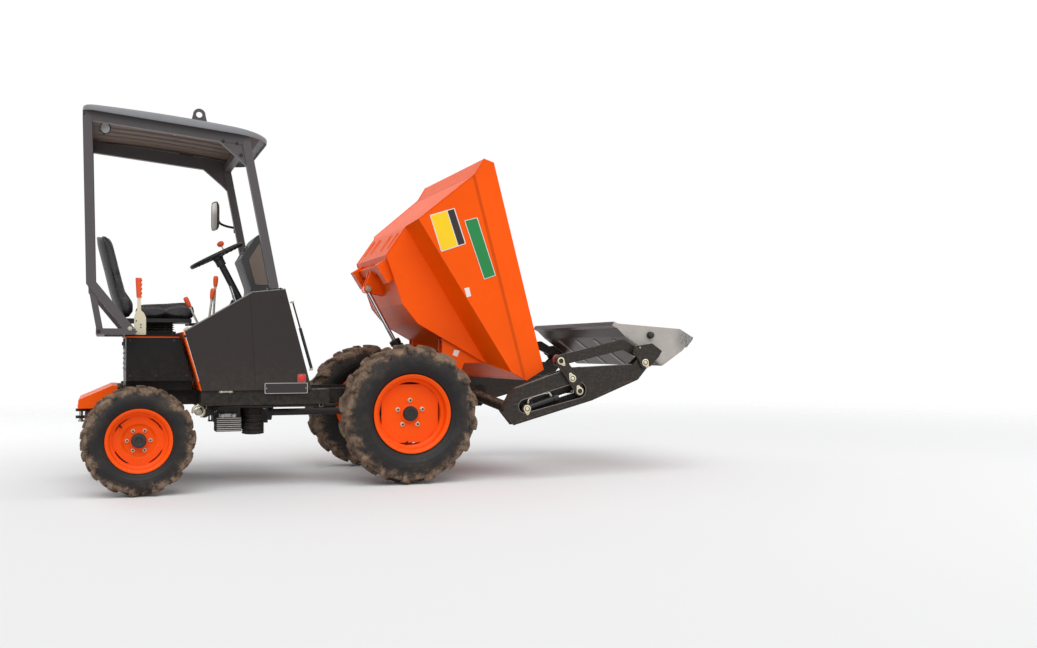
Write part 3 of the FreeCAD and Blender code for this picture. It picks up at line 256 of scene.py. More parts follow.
ORANGE = srgb(252, 90, 0)
orange_gloss = painted("orange_gloss", ORANGE, 0.42, 0.05, 0.10, coat=0.03, shine=0.14)
# The skip's orange carries a painted shade band along the crease between rim band and side panel.
skip_orange_crease_shade = painted("skip_orange_crease_shade", ORANGE, 0.42, 0.05, 0.10, coat=0.03, shine=0.14,
                      crease=(0.4159, 1.9822, 0.966, 0.2585))
orange_rim = painted("orange_rim", srgb(250, 84, 0), 0.42, 0.09, 0.10, coat=0.03, shine=0.14)
panel_grey = painted("panel_grey", srgb(46, 40, 38), 0.48, 0.12, 0.45, shine=0.24)
roof_frame_grey = painted("roof_frame_grey", srgb(80, 75, 76), 0.44, 0.08, 0.2, shine=0.4)
frame_black = painted("frame_black", srgb(26, 24, 22), 0.52, 0.14, 0.45, shine=0.22)
axle_black = painted("axle_black", srgb(26, 25, 25), 0.55, 0.45, 0.35, shine=0.35)
ram_black = painted("ram_black", srgb(30, 29, 29), 0.38, 0.10, 0.0, shine=0.4)
box_black = painted("box_black", srgb(15, 12, 12), 0.44, 0.10, 0.5, shine=0.2)
print("paints", [m.name for m in bpy.data.materials if m.use_nodes][:8])

# %% [markdown]
# The loading arms and the shovel are painted dark grey too, but they push through rubble all day.
# The paint is scratched along the way the load slides, and bare steel shines where the edge
# bites. The scratches are a noise stretched along the machine, and the bare band is measured as
# the distance to the shovel's lip.

# %% Worn steel
STEEL_BARE = srgb(158, 156, 152)
STEEL_DARK = srgb(92, 90, 88)


def worn(name, colour, scratch=0.5, edge_centre=None, edge_reach=0.2, gloss=0.42, stain_and_shade=None):
    """Worn paint: scratches = stretched noise over a threshold; bare = closeness to an edge line.
    The last argument is the (width, colour) of what lies between the two side plates, where the load rubs; its dark
    colour is partly load stain and partly painted shade of the shovel's inside."""
    shader = Shader(name)
    fine = shader.noise(60, 6, 0.7)
    slow = shader.noise(5, 4, 0.6)
    along = shader.noise(1.0, 5, 0.7, place=shader.moved(scale=(9, 150, 60)))
    cross = shader.noise(1.0, 5, 0.7, place=shader.moved(scale=(120, 12, 90)))
    marks = along.ramp(0.60, 0.68).maximum(cross.ramp(0.63, 0.70)) * slow.ramp(0.40, 0.62) * scratch
    if edge_centre is not None:
        offset = shader.moved(centre=edge_centre)
        across = shader.axis("X", offset) ** 2.0 + shader.axis("Z", offset) ** 2.0
        rub = (across ** 0.5 + (fine - 0.5) * edge_reach * 0.8).ramp(edge_reach, edge_reach * 0.25)
        marks = marks.maximum(rub)
    shade = shader.blend(slow.ramp(0.3, 0.75) * 0.6, colour, tuple(c * 0.72 for c in colour))
    if stain_and_shade:
        # painted shade: between the side plates the colour goes dark, partly load stain and partly the shade inside the
        # shovel
        inside = (shader.axis("Y") ** 2.0).ramp(stain_and_shade[0] ** 2, (stain_and_shade[0] - 0.004) ** 2)
        shade = shader.blend(inside, shade, stain_and_shade[1])
        marks = marks * (1 - inside * 0.6)
    steel = shader.blend(fine.ramp(0.35, 0.7), STEEL_BARE, STEEL_DARK)
    shade = shader.blend(marks, shade, steel)
    dust = (shader.upward().ramp(0.2, 0.9) * 0.55 + 0.10) * fine.ramp(0.38, 0.74)
    if stain_and_shade:
        dust = dust * (1 - inside * 0.7)
    shade = shader.blend(dust * (1 - marks * 0.7), shade, DUST)
    rough = (dust * 0.35 + gloss - marks * 0.10 + (fine - 0.5) * 0.16).minimum(0.95)
    normal = shader.bump(fine, 0.0007, 0.5)
    normal = shader.bump(marks, 0.0003, 0.5, normal)
    return shader.surface(shade, rough, Metallic=marks * 0.85, Normal=normal, Specular_IOR_Level=0.35)


lip = (1.97, 0.0, 0.915)
# The shovel's pale base colour stands in for the sky's sheen on its side plates (painted reflection); between the
# plates it is dark with load stain and painted shade.
shovel_steel_sheen_and_shade = worn("shovel_steel_sheen_and_shade", srgb(178, 172, 166), 0.5, lip, 0.16, 0.36, (0.712, srgb(44, 28, 23)))
edge_steel = worn("edge_steel", srgb(130, 126, 120), 1.0, lip, 0.3, 0.32)
arm_grey = worn("arm_grey", srgb(29, 23, 18), 0.25)
print("worn finishes made")

# %% [markdown]
# The remaining hard finishes: chrome on the ram rods, zinc-plated bolts with their yellowish tint,
# cast iron for the gearbox, moulded plastic with its leathery grain, and the red of the lamps.

# %% Metals and plastics
def chromed(name):
    """Hard chrome: bright, with faint lengthwise grind marks and a little dust."""
    shader = Shader(name)
    fine = shader.noise(55, 5, 0.6)
    rough = fine * 0.12 + 0.07
    shade = shader.blend(fine.ramp(0.6, 0.85) * 0.25, srgb(214, 215, 218), DUST)
    return shader.surface(shade, rough, Metallic=1.0)


def plated(name, colour, rough=0.34):
    """Plated steel: a tinted metal, dulled in patches."""
    shader = Shader(name)
    fine = shader.noise(130, 4, 0.6)
    shade = shader.blend(fine.ramp(0.35, 0.7) * 0.5, colour, tuple(c * 0.6 for c in colour))
    return shader.surface(shade, fine * 0.25 + rough - 0.1, Metallic=0.75)


def moulded(name, colour, rough=0.55, grain=0.00018, dust=0.2):
    """Moulded plastic: cell-shaped leather grain in the bump, dust where it looks up."""
    shader = Shader(name)
    cells = shader.cells(520)
    slow = shader.noise(9, 5, 0.6)
    mask = (shader.upward().ramp(0.3, 0.95) * 0.8 + 0.2) * slow.ramp(0.38, 0.7) * dust
    shade = shader.blend(slow.ramp(0.3, 0.7) * 0.4, colour, tuple(c * 0.75 + 0.002 for c in colour))
    shade = shader.blend(mask, shade, DUST)
    normal = shader.bump(cells, grain, 0.7)
    return shader.surface(shade, mask * 0.3 + rough + (slow - 0.5) * 0.12, Normal=normal)


def cast(name, colour):
    """Cast iron below a film of oil and dirt: coarse sand grain, dull, with oily patches."""
    shader = Shader(name)
    sand = shader.noise(260, 4, 0.7)
    slow = shader.noise(11, 5, 0.6)
    oily = slow.ramp(0.52, 0.68)
    shade = shader.blend(oily, shader.blend(sand.ramp(0.4, 0.7) * 0.5, colour, MUD_DARK), tuple(c * 0.4 for c in colour))
    return shader.surface(shade, 0.8 - oily * 0.45, Metallic=0.25, Normal=shader.bump(sand, 0.0008, 0.6))


chrome = chromed("chrome")
zinc = plated("zinc", srgb(186, 182, 168))
zinc_cream = plated("zinc_cream", srgb(225, 214, 184), 0.42)
black_bolt = plated("black_bolt", srgb(52, 52, 54), 0.40)
black_plastic = moulded("black_plastic", srgb(38, 38, 41))
roof_top = moulded("roof_top", srgb(132, 134, 137), 0.5, 0.00012, 0.25)
rubber_black = moulded("rubber_black", srgb(26, 26, 27), 0.6, 0.00010, 0.35)
grip_orange = moulded("grip_orange", srgb(232, 84, 26), 0.42, 0.0001, 0.05)
lamp_red = moulded("lamp_red", srgb(178, 20, 16), 0.22, 0.00005, 0.15)
reflector_red = moulded("reflector_red", srgb(214, 40, 28), 0.20, 0.00005, 0.1)
iron = cast("iron", srgb(58, 58, 60))
print("hard finishes made")

# %% [markdown]
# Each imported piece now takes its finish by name. The tyres, the cushions and the steering wheel
# get their own modelled pieces further on, so they aren't listed here.

# %% Dress the rigid pieces
finishes = {
    skip_orange_crease_shade: ["skip_shell"],
    orange_gloss: ["skip_underframe", "rear_cover", "bulkhead"],
    orange_rim: ["rim_front_right", "rim_front_left", "rim_rear_right", "rim_rear_left"],
    panel_grey: ["side_panel_right", "side_panel_left", "cowl"],
    roof_frame_grey: ["rops_frame"],
    frame_black: ["chassis_frame", "entry_step", "tow_hitch", "floor_plate"],
    box_black: ["seat_box", "seat_box_lid", "seat_base"],
    axle_black: ["front_axle", "rear_axle", "knuckle_right", "knuckle_left", "tie_rod"],
    ram_black: ["tip_ram_barrel", "lift_ram_barrels", "tilt_ram_barrels"],
    iron: ["transmission", "hydraulic_unit", "engine_block"],
    chrome: ["tip_ram_rod", "lift_ram_rods", "tilt_ram_rods"],
    arm_grey: ["loader_arms", "tilt_levers", "tilt_links", "shovel_brackets"],
    shovel_steel_sheen_and_shade: ["shovel_shell"],
    edge_steel: ["cutting_edge"],
    black_plastic: ["dashboard", "mirror_head", "steering_column", "mirror_arm", "control_levers", "brake_lever"],
    roof_top: ["canopy"],
    lamp_red: ["tail_lamps"],
}
dressed = set()
for finish, names in finishes.items():
    for name in names:
        nodes[name].material_slots[0].material = finish
        dressed.add(name)
print("still bare:", sorted(set(nodes) - dressed))

# %% [markdown]
# Shapes are worked out as whole arrays. A surface is a grid of points, rows by columns; joining
# its neighbours gives the faces. A lathe turns a profile about an axis, and a carried profile is
# set across a path. Small parts are gathered in one list and become one mesh.

# %% Shape helpers
def grid_faces(rows, columns, close_rows=False, close_columns=False, start=0):
    """Quads that join each point of a grid to its neighbours in the next row and column."""
    r = np.arange(rows if close_rows else rows - 1)[:, None]
    c = np.arange(columns if close_columns else columns - 1)[None, :]
    r2, c2 = (r + 1) % rows, (c + 1) % columns
    corners = [r * columns + c, r * columns + c2, r2 * columns + c2, r2 * columns + c]
    return np.stack([np.broadcast_to(k, (r.size, c.size)).ravel() for k in corners], 1) + start


def skin(points, close_rows=False, close_columns=False, caps=False):
    """A grid of points (rows, columns, 3) as a mesh part: its points and its faces."""
    rows, columns = points.shape[:2]
    faces = [tuple(f) for f in grid_faces(rows, columns, close_rows, close_columns)]
    if caps:
        faces.append(tuple(range(columns))[::-1])
        faces.append(tuple(range((rows - 1) * columns, rows * columns)))
    return points.reshape(-1, 3), faces


def joined(parts):
    """Several mesh parts as one, the later faces counted on from the earlier points."""
    points, faces, start = [], [], 0
    for part_points, part_faces in parts:
        points.append(part_points)
        faces += [tuple(int(i) + start for i in f) for f in part_faces]
        start += len(part_points)
    return np.concatenate(points), faces


def smooth_line(points, count):
    """A rounded line through a few points: each stretch is a cubic whose end slopes are half the
    step between its neighbours (a Catmull-Rom curve), sampled evenly in its parameter."""
    p = np.array(points, float)
    p = np.vstack([2 * p[0] - p[1], p, 2 * p[-1] - p[-2]])
    t = np.linspace(0, len(points) - 1, count)
    i = np.minimum(t.astype(int), len(points) - 2)
    f = (t - i)[:, None]
    a, b, c, d = p[i], p[i + 1], p[i + 2], p[i + 3]
    return 0.5 * (2 * b + (c - a) * f + (2 * a - 5 * b + 4 * c - d) * f ** 2 + (3 * b - a - 3 * c + d) * f ** 3)


def unit(vector):
    vector = np.array(vector, float)
    return vector / np.linalg.norm(vector)


def frame_of(direction):
    """Two unit directions square to the given one, and to each other."""
    direction = unit(direction)
    help_axis = np.array([0, 0, 1.0]) if abs(direction[2]) < 0.9 else np.array([1.0, 0, 0])
    side = unit(np.cross(help_axis, direction))
    return side, np.cross(direction, side)


def lathe(profile, centre, axis, steps=48, closed=False):
    """A profile of (distance along the axis, radius) turned about the axis through the centre."""
    profile = np.array(profile, float)
    axis = unit(axis)
    u, v = frame_of(axis)
    turn = np.linspace(0, 2 * math.pi, steps, endpoint=False)[None, :, None]
    along = profile[:, 0][:, None, None] * axis
    out = profile[:, 1][:, None, None] * (np.cos(turn) * u + np.sin(turn) * v)
    return skin(np.array(centre, float) + along + out, close_rows=closed, close_columns=True, caps=not closed)


def carried(path, radius, sides=10):
    """A round section set square to each point of a path: the middle line plus radius times the
    turning pair of directions, each pair projected from the one before so that it doesn't twist."""
    path = np.array(path, float)
    slope = np.gradient(path, axis=0)
    slope /= np.linalg.norm(slope, axis=1)[:, None]
    side, rings = frame_of(slope[0])[0], []
    turn = np.linspace(0, 2 * math.pi, sides, endpoint=False)[:, None]
    for point, forward, r in zip(path, slope, np.broadcast_to(radius, len(path))):
        side = unit(side - forward * np.dot(side, forward))
        rings.append(point + r * (np.cos(turn) * side + np.sin(turn) * np.cross(forward, side)))
    return skin(np.array(rings), close_columns=True, caps=True)


def rounded(outline, radius, steps=5):
    """A flat outline with each corner replaced by a quadratic curve that starts and ends at that
    distance from it."""
    outline = np.array(outline, float)
    before, after = np.roll(outline, 1, 0), np.roll(outline, -1, 0)
    cut = np.broadcast_to(radius, len(outline))[:, None]
    start = outline + (before - outline) * np.minimum(0.48, cut / np.linalg.norm(before - outline, axis=1)[:, None])
    end = outline + (after - outline) * np.minimum(0.48, cut / np.linalg.norm(after - outline, axis=1)[:, None])
    t = np.linspace(0, 1, steps)[None, :, None]
    curve = start[:, None] * (1 - t) ** 2 + outline[:, None] * 2 * t * (1 - t) + end[:, None] * t ** 2
    return curve.reshape(-1, 2)


def plate(outline, near, far, to_world):
    """A flat outline given thickness: its points at the near and the far depth, and two caps."""
    outline = np.array(outline, float)
    rings = np.stack([to_world(outline, np.full(len(outline), depth)) for depth in (near, far)])
    return skin(rings, close_columns=True, caps=True)


def upright(outline, y):
    """Outline coordinates (x, z) at a place y across the machine."""
    return np.stack([outline[:, 0], y, outline[:, 1]], 1)


def piece(name, parts, material, body, replaces=(), sharp=32, bevel=0.0, segments=2, split=False):
    """Makes one object from mesh parts, faces outwards, and hangs it on its body."""
    points, faces = joined(parts)
    mesh = bpy.data.meshes.new(name)
    mesh.from_pydata(points.tolist(), [], faces)
    made = bpy.data.objects.new(name, mesh)
    bpy.context.scene.collection.objects.link(made)
    tidy_faces(mesh)
    mesh.materials.append(material)
    mesh.shade_smooth()
    mesh.set_sharp_from_angle(angle=math.radians(sharp))
    if bevel:
        edge = made.modifiers.new("edges", "BEVEL")
        edge.width, edge.segments, edge.limit_method = bevel, segments, "ANGLE"
        edge.angle_limit = math.radians(sharp)
        edge.harden_normals = True
    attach(made, body)
    if replaces:
        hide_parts(*replaces)
    return made


def tidy_faces(mesh):
    """Turns every face outwards."""
    import bmesh
    work = bmesh.new()
    work.from_mesh(mesh)
    bmesh.ops.recalc_face_normals(work, faces=work.faces)
    work.to_mesh(mesh)
    work.free()


def hexagon(centre, axis, across, height, washer=1.35):
    """A bolt head: a washer disc below a six-sided head whose top edge is turned off."""
    r = across / 2
    disc = lathe([(0, r * washer), (height * 0.22, r * washer)], centre, axis, 20)
    head = lathe([(height * 0.2, r), (height * 0.9, r), (height, r * 0.84)], centre, axis, 6)
    return [disc, head]


print("shape helpers ready")

# %% [markdown]
# The wheels stand out most, so they come first. A traction tyre is two things: a smooth casing,
# and heavy slanting lugs that stand alternately on its two halves. The rigid model has both with
# flat faces. Here the casing is a profile turned round the axle, and each lug follows the casing
# from the middle of the tread over the shoulder and a little way down the side wall. Dried mud
# fills the gaps between the lugs, so the tread of the casing is pushed out by a noise.

# %% Tyre shapes
FRONT = dict(radius=0.4425, half=0.135, bead=0.229, flange=0.250, lug=0.027, lugs=17, x=0.0, y=0.595)
REAR = dict(radius=0.320, half=0.100, bead=0.170, flange=0.1875, lug=0.021, lugs=15, x=-1.620, y=0.620)


def ripple(theta, across, seed):
    """Lumps from -1 to 1: a sum of sines with seeded directions, whole waves round the wheel."""
    draw = np.random.default_rng(seed)
    total = np.zeros(np.broadcast(theta, across).shape)
    for waves in (9, 14, 23, 37, 52, 71):
        lean, phase, size = draw.uniform(-160, 160), draw.uniform(0, 6.28), 9 / (waves + 6)
        total += size * np.sin(waves * theta + lean * across + phase)
    return total / 1.6


def tyre_profile(size):
    """Half the casing's section, from the bead over the side wall to the middle of the tread, as
    (across, radius). Numbers are shares of half the width and of the height above the bead."""
    depth = size["radius"] - size["lug"] - size["bead"]
    shape = [(0.70, 0.02), (0.70, 0.10), (0.80, 0.19), (0.94, 0.36), (0.985, 0.52), (0.975, 0.66),
             (0.93, 0.82), (0.84, 0.93), (0.68, 0.98), (0.40, 1.0), (0.0, 1.005)]
    line = smooth_line([(a * size["half"], size["bead"] + r * depth) for a, r in shape], 34)
    return line


def round_wheel(across, radius, theta, size, side):
    """Places a point of the wheel: across the tread, out from the axle, and round from the top."""
    x = size["x"] + radius * np.sin(theta)
    y = side * size["y"] + across + 0 * theta
    z = size["radius"] + radius * np.cos(theta)
    return np.stack(np.broadcast_arrays(x, y, z), -1)


def casing(size, side, seed):
    """The casing: its section turned round the axle, the tread pushed out by dried mud."""
    half = tyre_profile(size)
    section = np.vstack([half, half[-2::-1] * (-1, 1)])
    theta = np.linspace(0, 2 * math.pi, 168, endpoint=False)[None, :]
    across, radius = section[:, 0:1], section[:, 1:2]
    tread = np.clip((radius - size["radius"] + 2.4 * size["lug"]) / size["lug"], 0, 1)
    mud = tread ** 2 * (0.35 + 0.65 * ripple(theta, across, seed)) * size["lug"] * 0.34
    return skin(round_wheel(across, radius + mud, theta, size, side), close_columns=True)


def lugs(size, side, seed):
    """All lugs at once. Along a lug, u goes from the middle of the tread to its end on the side
    wall; round its section, v goes up one flank, over the top and down the other flank."""
    draw = np.random.default_rng(seed)
    half, top, lug = size["half"], size["radius"], size["lug"]
    low = size["bead"] + (top - lug - size["bead"]) * 0.80
    scale = half / FRONT["half"]
    inner = smooth_line([(-0.05, 0.985), (0.3, 0.985), (0.62, 0.97), (0.84, 0.92), (0.93, 0.84), (0.95, 0.79)], 15)
    foot = np.stack([inner[:, 0] * half, size["bead"] + (inner[:, 1]) * (top - lug - size["bead"])], 1)
    crest = smooth_line([(-0.05 * half, top - 0.0008), (0.3 * half, top - 0.0008), (0.60 * half, top - 0.12 * lug),
                         (0.90 * half, top - 0.48 * lug), (0.985 * half, top - 1.1 * lug), (0.985 * half, low)], 15)
    u = np.linspace(0, 1, 15)
    centre = (-0.014 + 0.072 * np.clip(u / 0.62, 0, 1) ** 1.15) * scale
    width = half * np.interp(u, [0, 0.1, 0.5, 1], [0.17, 0.25, 0.27, 0.21])
    lift = np.array([-0.25, 0.45, 0.86, 1.0, 1.0, 0.86, 0.45, -0.25])
    aside = np.array([-0.62, -0.53, -0.48, -0.36, 0.36, 0.48, 0.53, 0.62])
    starts, halves = np.meshgrid(np.arange(size["lugs"]), [1, -1], indexing="ij")
    turn = 2 * math.pi / size["lugs"] * (starts + np.where(halves > 0, 0, 0.5))
    turn, halves = turn.ravel()[:, None, None], halves.ravel()[:, None, None] * (-side)
    count = turn.shape[0]
    rough = draw.normal(0, 0.0011 * scale, (count, 15, 8))
    wear = draw.uniform(0.90, 1.0, (count, 1, 1))
    blend = lift[None, None, :] * np.where(lift[None, None, :] > 0.5, wear, 1.0)
    across = foot[None, :, 0:1] + (crest - foot)[None, :, 0:1] * np.clip(blend, -0.25, 1)
    radius = foot[None, :, 1:2] + (crest - foot)[None, :, 1:2] * np.clip(blend, -0.25, 1)
    radius = np.minimum(radius + rough * 0.8, top - 0.0004)
    sideways = centre[None, :, None] + width[None, :, None] * aside[None, None, :] + rough
    across = np.clip(across + rough[:, :, ::-1] * 0.5, -half, half - 0.0004)
    points = round_wheel(across * halves, radius, turn + sideways / top, size, side)
    parts = []
    for block in points:
        parts.append(skin(block, close_columns=True, caps=True))
    return parts


print("tyre section", tyre_profile(FRONT).shape, "lugs on a front tyre", 2 * FRONT["lugs"])

# %% [markdown]
# Rubber is only part of what a tyre's finish shows. The side wall is smooth and bluish black with a
# few moulded rings, and the mud gets denser with the distance from the axle. So the mask is the
# radius, pushed to and fro by a noise, and the mud's own colour runs from damp brown to dry grey.

# %% Tyre finish
def tyre_rubber(name, size):
    """Mud mask = smooth step of (distance from the axle + noise) between rim and tread."""
    shader = Shader(name)
    offset = shader.moved(centre=(size["x"], 0, size["radius"]))
    reach = (shader.axis("X", offset) ** 2.0 + shader.axis("Z", offset) ** 2.0) ** 0.5
    coarse = shader.noise(13, 5, 0.62)
    fine = shader.noise(85, 6, 0.68)
    crumbs = shader.noise(330, 4, 0.7)
    tall = size["radius"] - size["bead"]
    share = (reach - size["bead"]) / tall
    mud = (share + (coarse - 0.5) * 0.85 + (fine - 0.5) * 0.45).ramp(0.62, 0.86)
    film = (share * 0.5 + (coarse - 0.35) * 0.9).ramp(0.25, 0.8) * 0.16
    wet = coarse.ramp(0.30, 0.72)
    soil = shader.blend(wet, MUD_DARK, MUD_LIGHT)
    soil = shader.blend(crumbs.ramp(0.48, 0.78) * 0.55, soil, srgb(172, 150, 128))
    rubber = shader.blend(fine.ramp(0.3, 0.8) * 0.5, srgb(21, 20, 20), srgb(34, 32, 32))
    shade = shader.blend(film, rubber, DUST)
    shade = shader.blend(mud, shade, soil)
    rings = (share * 58.0).math("SINE").ramp(0.72, 0.96) * share.ramp(0.52, 0.46) * share.ramp(0.08, 0.14)
    normal = shader.bump(rings, 0.0012, 0.7)
    normal = shader.bump(mud * (fine * 0.7 + crumbs * 0.6), 0.006, 0.9, normal)
    rough = mud * 0.32 + film * 0.4 + 0.52
    return shader.surface(shade, rough.minimum(0.95), Normal=normal, Specular_IOR_Level=0.3)


rubber_front = tyre_rubber("rubber_front", FRONT)
rubber_rear = tyre_rubber("rubber_rear", REAR)
tyres = {}
for end, size, rubber in (("front", FRONT, rubber_front), ("rear", REAR, rubber_rear)):
    for hand, side in (("right", -1), ("left", 1)):
        seed = len(tyres) + 5
        parts = [casing(size, side, seed), *lugs(size, side, seed)]
        name = f"tyre_{end}_{hand}"
        tyres[name] = piece(name + "_tread", parts, rubber, f"wheel_{end}_{hand}", [name], sharp=38)
print({name: len(t.data.polygons) for name, t in tyres.items()})

# %% [markdown]
# The front rim has a rolled lip, a deep well and a flat eight-sided disc. Because the disc's sides
# are straight and the well is round, dark slits are left above, below and beside it. The rear rim
# has a dished disc with curved slots pressed near its edge. Both are turned profiles, so they are
# made again here as smooth lathes with finer roundings than the rigid model has, in the same place.

# %% Rims
def rim_drum(size, well, half):
    """The outside of a drop-centre rim as a closed profile (across, radius): a rolled lip at each
    end, the bead seats, and the well between them; its inside is the same line set back."""
    lip, seat = size["flange"], size["bead"]
    end = smooth_line([(half - 0.009, seat + 0.004), (half - 0.0078, lip - 0.006), (half - 0.005, lip - 0.0008),
                       (half - 0.001, lip - 0.002), (half, lip - 0.007), (half - 0.001, lip - 0.0115)], 16)
    inside = smooth_line([(half - 0.0035, lip - 0.014), (half - 0.012, seat - 0.006), (0.62 * half, seat - 0.008),
                          (0.50 * half, well + 0.010), (0.40 * half, well - 0.004), (0.2 * half, well - 0.006)], 26)
    outside = smooth_line([(0.2 * half, well), (0.36 * half, well), (0.47 * half, seat - 0.004),
                           (0.58 * half, seat - 0.002), (half - 0.012, seat - 0.0005)], 20)
    near = np.vstack([outside, end, inside])
    far = near[::-1] * (-1, 1)
    return np.vstack([near, far])


def wheel_frame(size, side):
    """The middle of a wheel and its outward direction."""
    return np.array([size["x"], side * size["y"], size["radius"]]), np.array([0.0, side, 0.0])


def eight_sided(size, side, face, reach, thick):
    """The flat front disc. Its edge is the nearest of three lines at each turn: four flats, four
    slanting sides a little further out, and the circle of the well."""
    turn = np.radians(np.arange(0, 360, 1.5))
    straight = 0.184 / np.maximum(np.abs(np.cos(turn)), np.abs(np.sin(turn)))
    slanting = 0.1965 / np.maximum(np.abs(np.cos(turn + math.pi / 4)), np.abs(np.sin(turn + math.pi / 4)))
    far = np.minimum(np.minimum(straight, slanting), reach)
    outline = np.stack([size["x"] + far * np.cos(turn), size["radius"] + far * np.sin(turn)], 1)
    return plate(outline, side * (size["y"] + face), side * (size["y"] + face + thick), upright)


def slotted_dish(size, side, well):
    """The rear disc: a polar grid whose depth follows the dish, left open where the slots are.
    Depth falls from the rim to the flat middle by a smooth step of the radius."""
    radius = np.concatenate([np.linspace(0.040, 0.86 * well, 20), np.linspace(0.87 * well, well - 0.002, 22)])[:, None]
    turn = np.linspace(0, 2 * math.pi, 144, endpoint=False)[None, :]
    share = np.clip((radius / well - 0.54) / 0.14, 0, 1)
    depth = size["y"] + 0.0063 + 0.0137 * share ** 2 * (3 - 2 * share)
    front = []
    for lift in (0.0, -0.0078):
        x, z = size["x"] + radius * np.sin(turn), size["radius"] + radius * np.cos(turn)
        front.append(np.stack(np.broadcast_arrays(x, side * (depth + lift), z), -1))
    rows, columns = front[0].shape[:2]
    quads = grid_faces(rows, columns, close_columns=True)
    r_mid = (radius[:-1, 0] + radius[1:, 0])[:, None] / 2 / well
    t_mid = np.degrees(turn[0] + math.pi / 144)[None, :]
    away = np.min([np.abs((t_mid - centre + 180) % 360 - 180) for centre in (45, 135, 225, 315)], 0)
    hole = (np.abs(r_mid - 0.935) < 0.034 * np.sqrt(np.clip(1 - (away / 22) ** 2, 0, 1))).ravel()
    quads = quads[~hole]
    grid = np.arange(rows * columns).reshape(rows, columns)
    edge_parts = [tuple(q) for q in quads] + [tuple(q[::-1] + rows * columns) for q in quads]
    used = {}
    for q in quads.tolist():
        for a, b in zip(q, q[1:] + q[:1]):
            used[(a, b)] = True
    walls = [(b, a, a + rows * columns, b + rows * columns) for a, b in used if (b, a) not in used]
    points = np.concatenate([f.reshape(-1, 3) for f in front])
    return points, edge_parts + walls


rims = {}
for end, size, well, half in (("front", FRONT, 0.204, 0.104), ("rear", REAR, 0.150, 0.078)):
    for hand, side in (("right", -1), ("left", 1)):
        middle, out = wheel_frame(size, side)
        drum = lathe(rim_drum(size, well, half), middle, out, 128, closed=True)
        if end == "front":
            disc = [eight_sided(size, side, 0.024, 0.2015, 0.008),
                    lathe([(-0.0015, 0.062), (0.036, 0.062), (0.038, 0.060), (0.038, 0.030)], middle, out, 64)]
        else:
            disc = [slotted_dish(size, side, well),
                    lathe([(-0.012, 0.060), (0.0075, 0.060), (0.0085, 0.058), (0.0085, 0.030)], middle, out, 64)]
        name = f"rim_{end}_{hand}"
        rims[name] = piece(name + "_paint", [drum, *disc], orange_rim, f"wheel_{end}_{hand}", [name],
                           sharp=50, bevel=0.0008, segments=2)
print({name: len(r.data.polygons) for name, r in rims.items()})

# %% [markdown]
# The hub end: a rough black cap in front and a smooth one behind, ringed by studs. Each stud sits
# in a pale coned washer, and its dark end shows in the middle. Five are on the front wheel, with
# one at the top, and six on the rear. A rubber valve pokes out of the well of each rim.

# %% Hub caps, wheel nuts and valves
def wheel_nuts(size, side, face, circle, count, first, grow):
    """Washer cones, hexagon nuts and stud ends on a circle; the lists are by finish."""
    middle, out = wheel_frame(size, side)
    pale, dark = [], []
    for k in range(count):
        turn = math.radians(first + 360 * k / count)
        spot = middle + out * face + circle * np.array([math.sin(turn), 0, math.cos(turn)])
        cone = np.array([(-0.001, 0.0125), (0.0016, 0.0125), (0.0042, 0.0104), (0.0042, 0.0062)])
        nut = np.array([(0.0035, 0.0098), (0.0125, 0.0098), (0.0140, 0.0084), (0.0140, 0.0066), (0.009, 0.0064)])
        pale.append(lathe(cone * (1, grow), spot, out, 28))
        pale.append(lathe(nut * (1, grow), spot, out, 6))
        dark.append(lathe([(0.0020, 0.0064 * grow), (0.0105, 0.0064 * grow), (0.0112, 0.0050 * grow)], spot, out, 18))
    return pale, dark


def hub_cap(size, side, face, radius, depth):
    """A cap with a rounded shoulder and a shallow turned hollow in its end."""
    middle, out = wheel_frame(size, side)
    profile = smooth_line([(0, radius), (0.55 * depth, radius), (0.90 * depth, 0.96 * radius), (depth, 0.84 * radius),
                           (depth, 0.5 * radius), (0.90 * depth, 0.42 * radius), (0.90 * depth, 0.05 * radius)], 30)
    return lathe(profile + (face, 0), middle, out, 56)


def valve(size, side, face, radius, turn):
    """A short rubber valve stem, leaning out from the well towards the axle."""
    middle, out = wheel_frame(size, side)
    way = np.array([math.sin(math.radians(turn)), 0, math.cos(math.radians(turn))])
    start, end = middle + out * (face - 0.012) + way * radius, middle + out * (face + 0.022) + way * (radius - 0.016)
    return carried(smooth_line([start, (start + end) / 2 + out * 0.003, end], 10), np.linspace(0.0058, 0.0040, 10), 14)


rough_cap = cast("rough_cap", srgb(34, 34, 37))
for end, size in (("front", FRONT), ("rear", REAR)):
    for hand, side in (("right", -1), ("left", 1)):
        front = end == "front"
        face, circle, count = (0.032, 0.084, 5) if front else (0.0063, 0.0645, 6)
        first = 0 if front else 30
        pale, dark = wheel_nuts(size, side, face, circle, count, first, 1.25 if front else 1.0)
        body = f"wheel_{end}_{hand}"
        piece(f"wheel_nuts_{end}_{hand}", pale, zinc_cream, body, sharp=40)
        piece(f"stud_ends_{end}_{hand}", dark, black_bolt, body, sharp=40)
        cap = hub_cap(size, side, 0.036, 0.047, 0.030) if front else hub_cap(size, side, 0.0085, 0.042, 0.0455)
        piece(f"hub_cap_{end}_{hand}", [cap], rough_cap if front else rubber_black, body, sharp=40)
        stem = valve(size, side, 0.046, 0.190, 188) if front else valve(size, side, 0.036, 0.138, -50 * side * -1)
        piece(f"valve_{end}_{hand}", [stem], rubber_black, body, sharp=60)
print("nuts, caps and valves on four wheels")

# %% [markdown]
# The driver's seat is two foam pads in black vinyl on a steel pan. A pad is not a block: its sides
# pull in between the corners, its top is crowned, and the sewn channels sink in. Each pad starts as
# a plain loft that is a little too small. A voxel remesh gives it an even skin, a few frames of
# cloth under pressure blow it up, and the channels are pressed in last, where the thread holds.

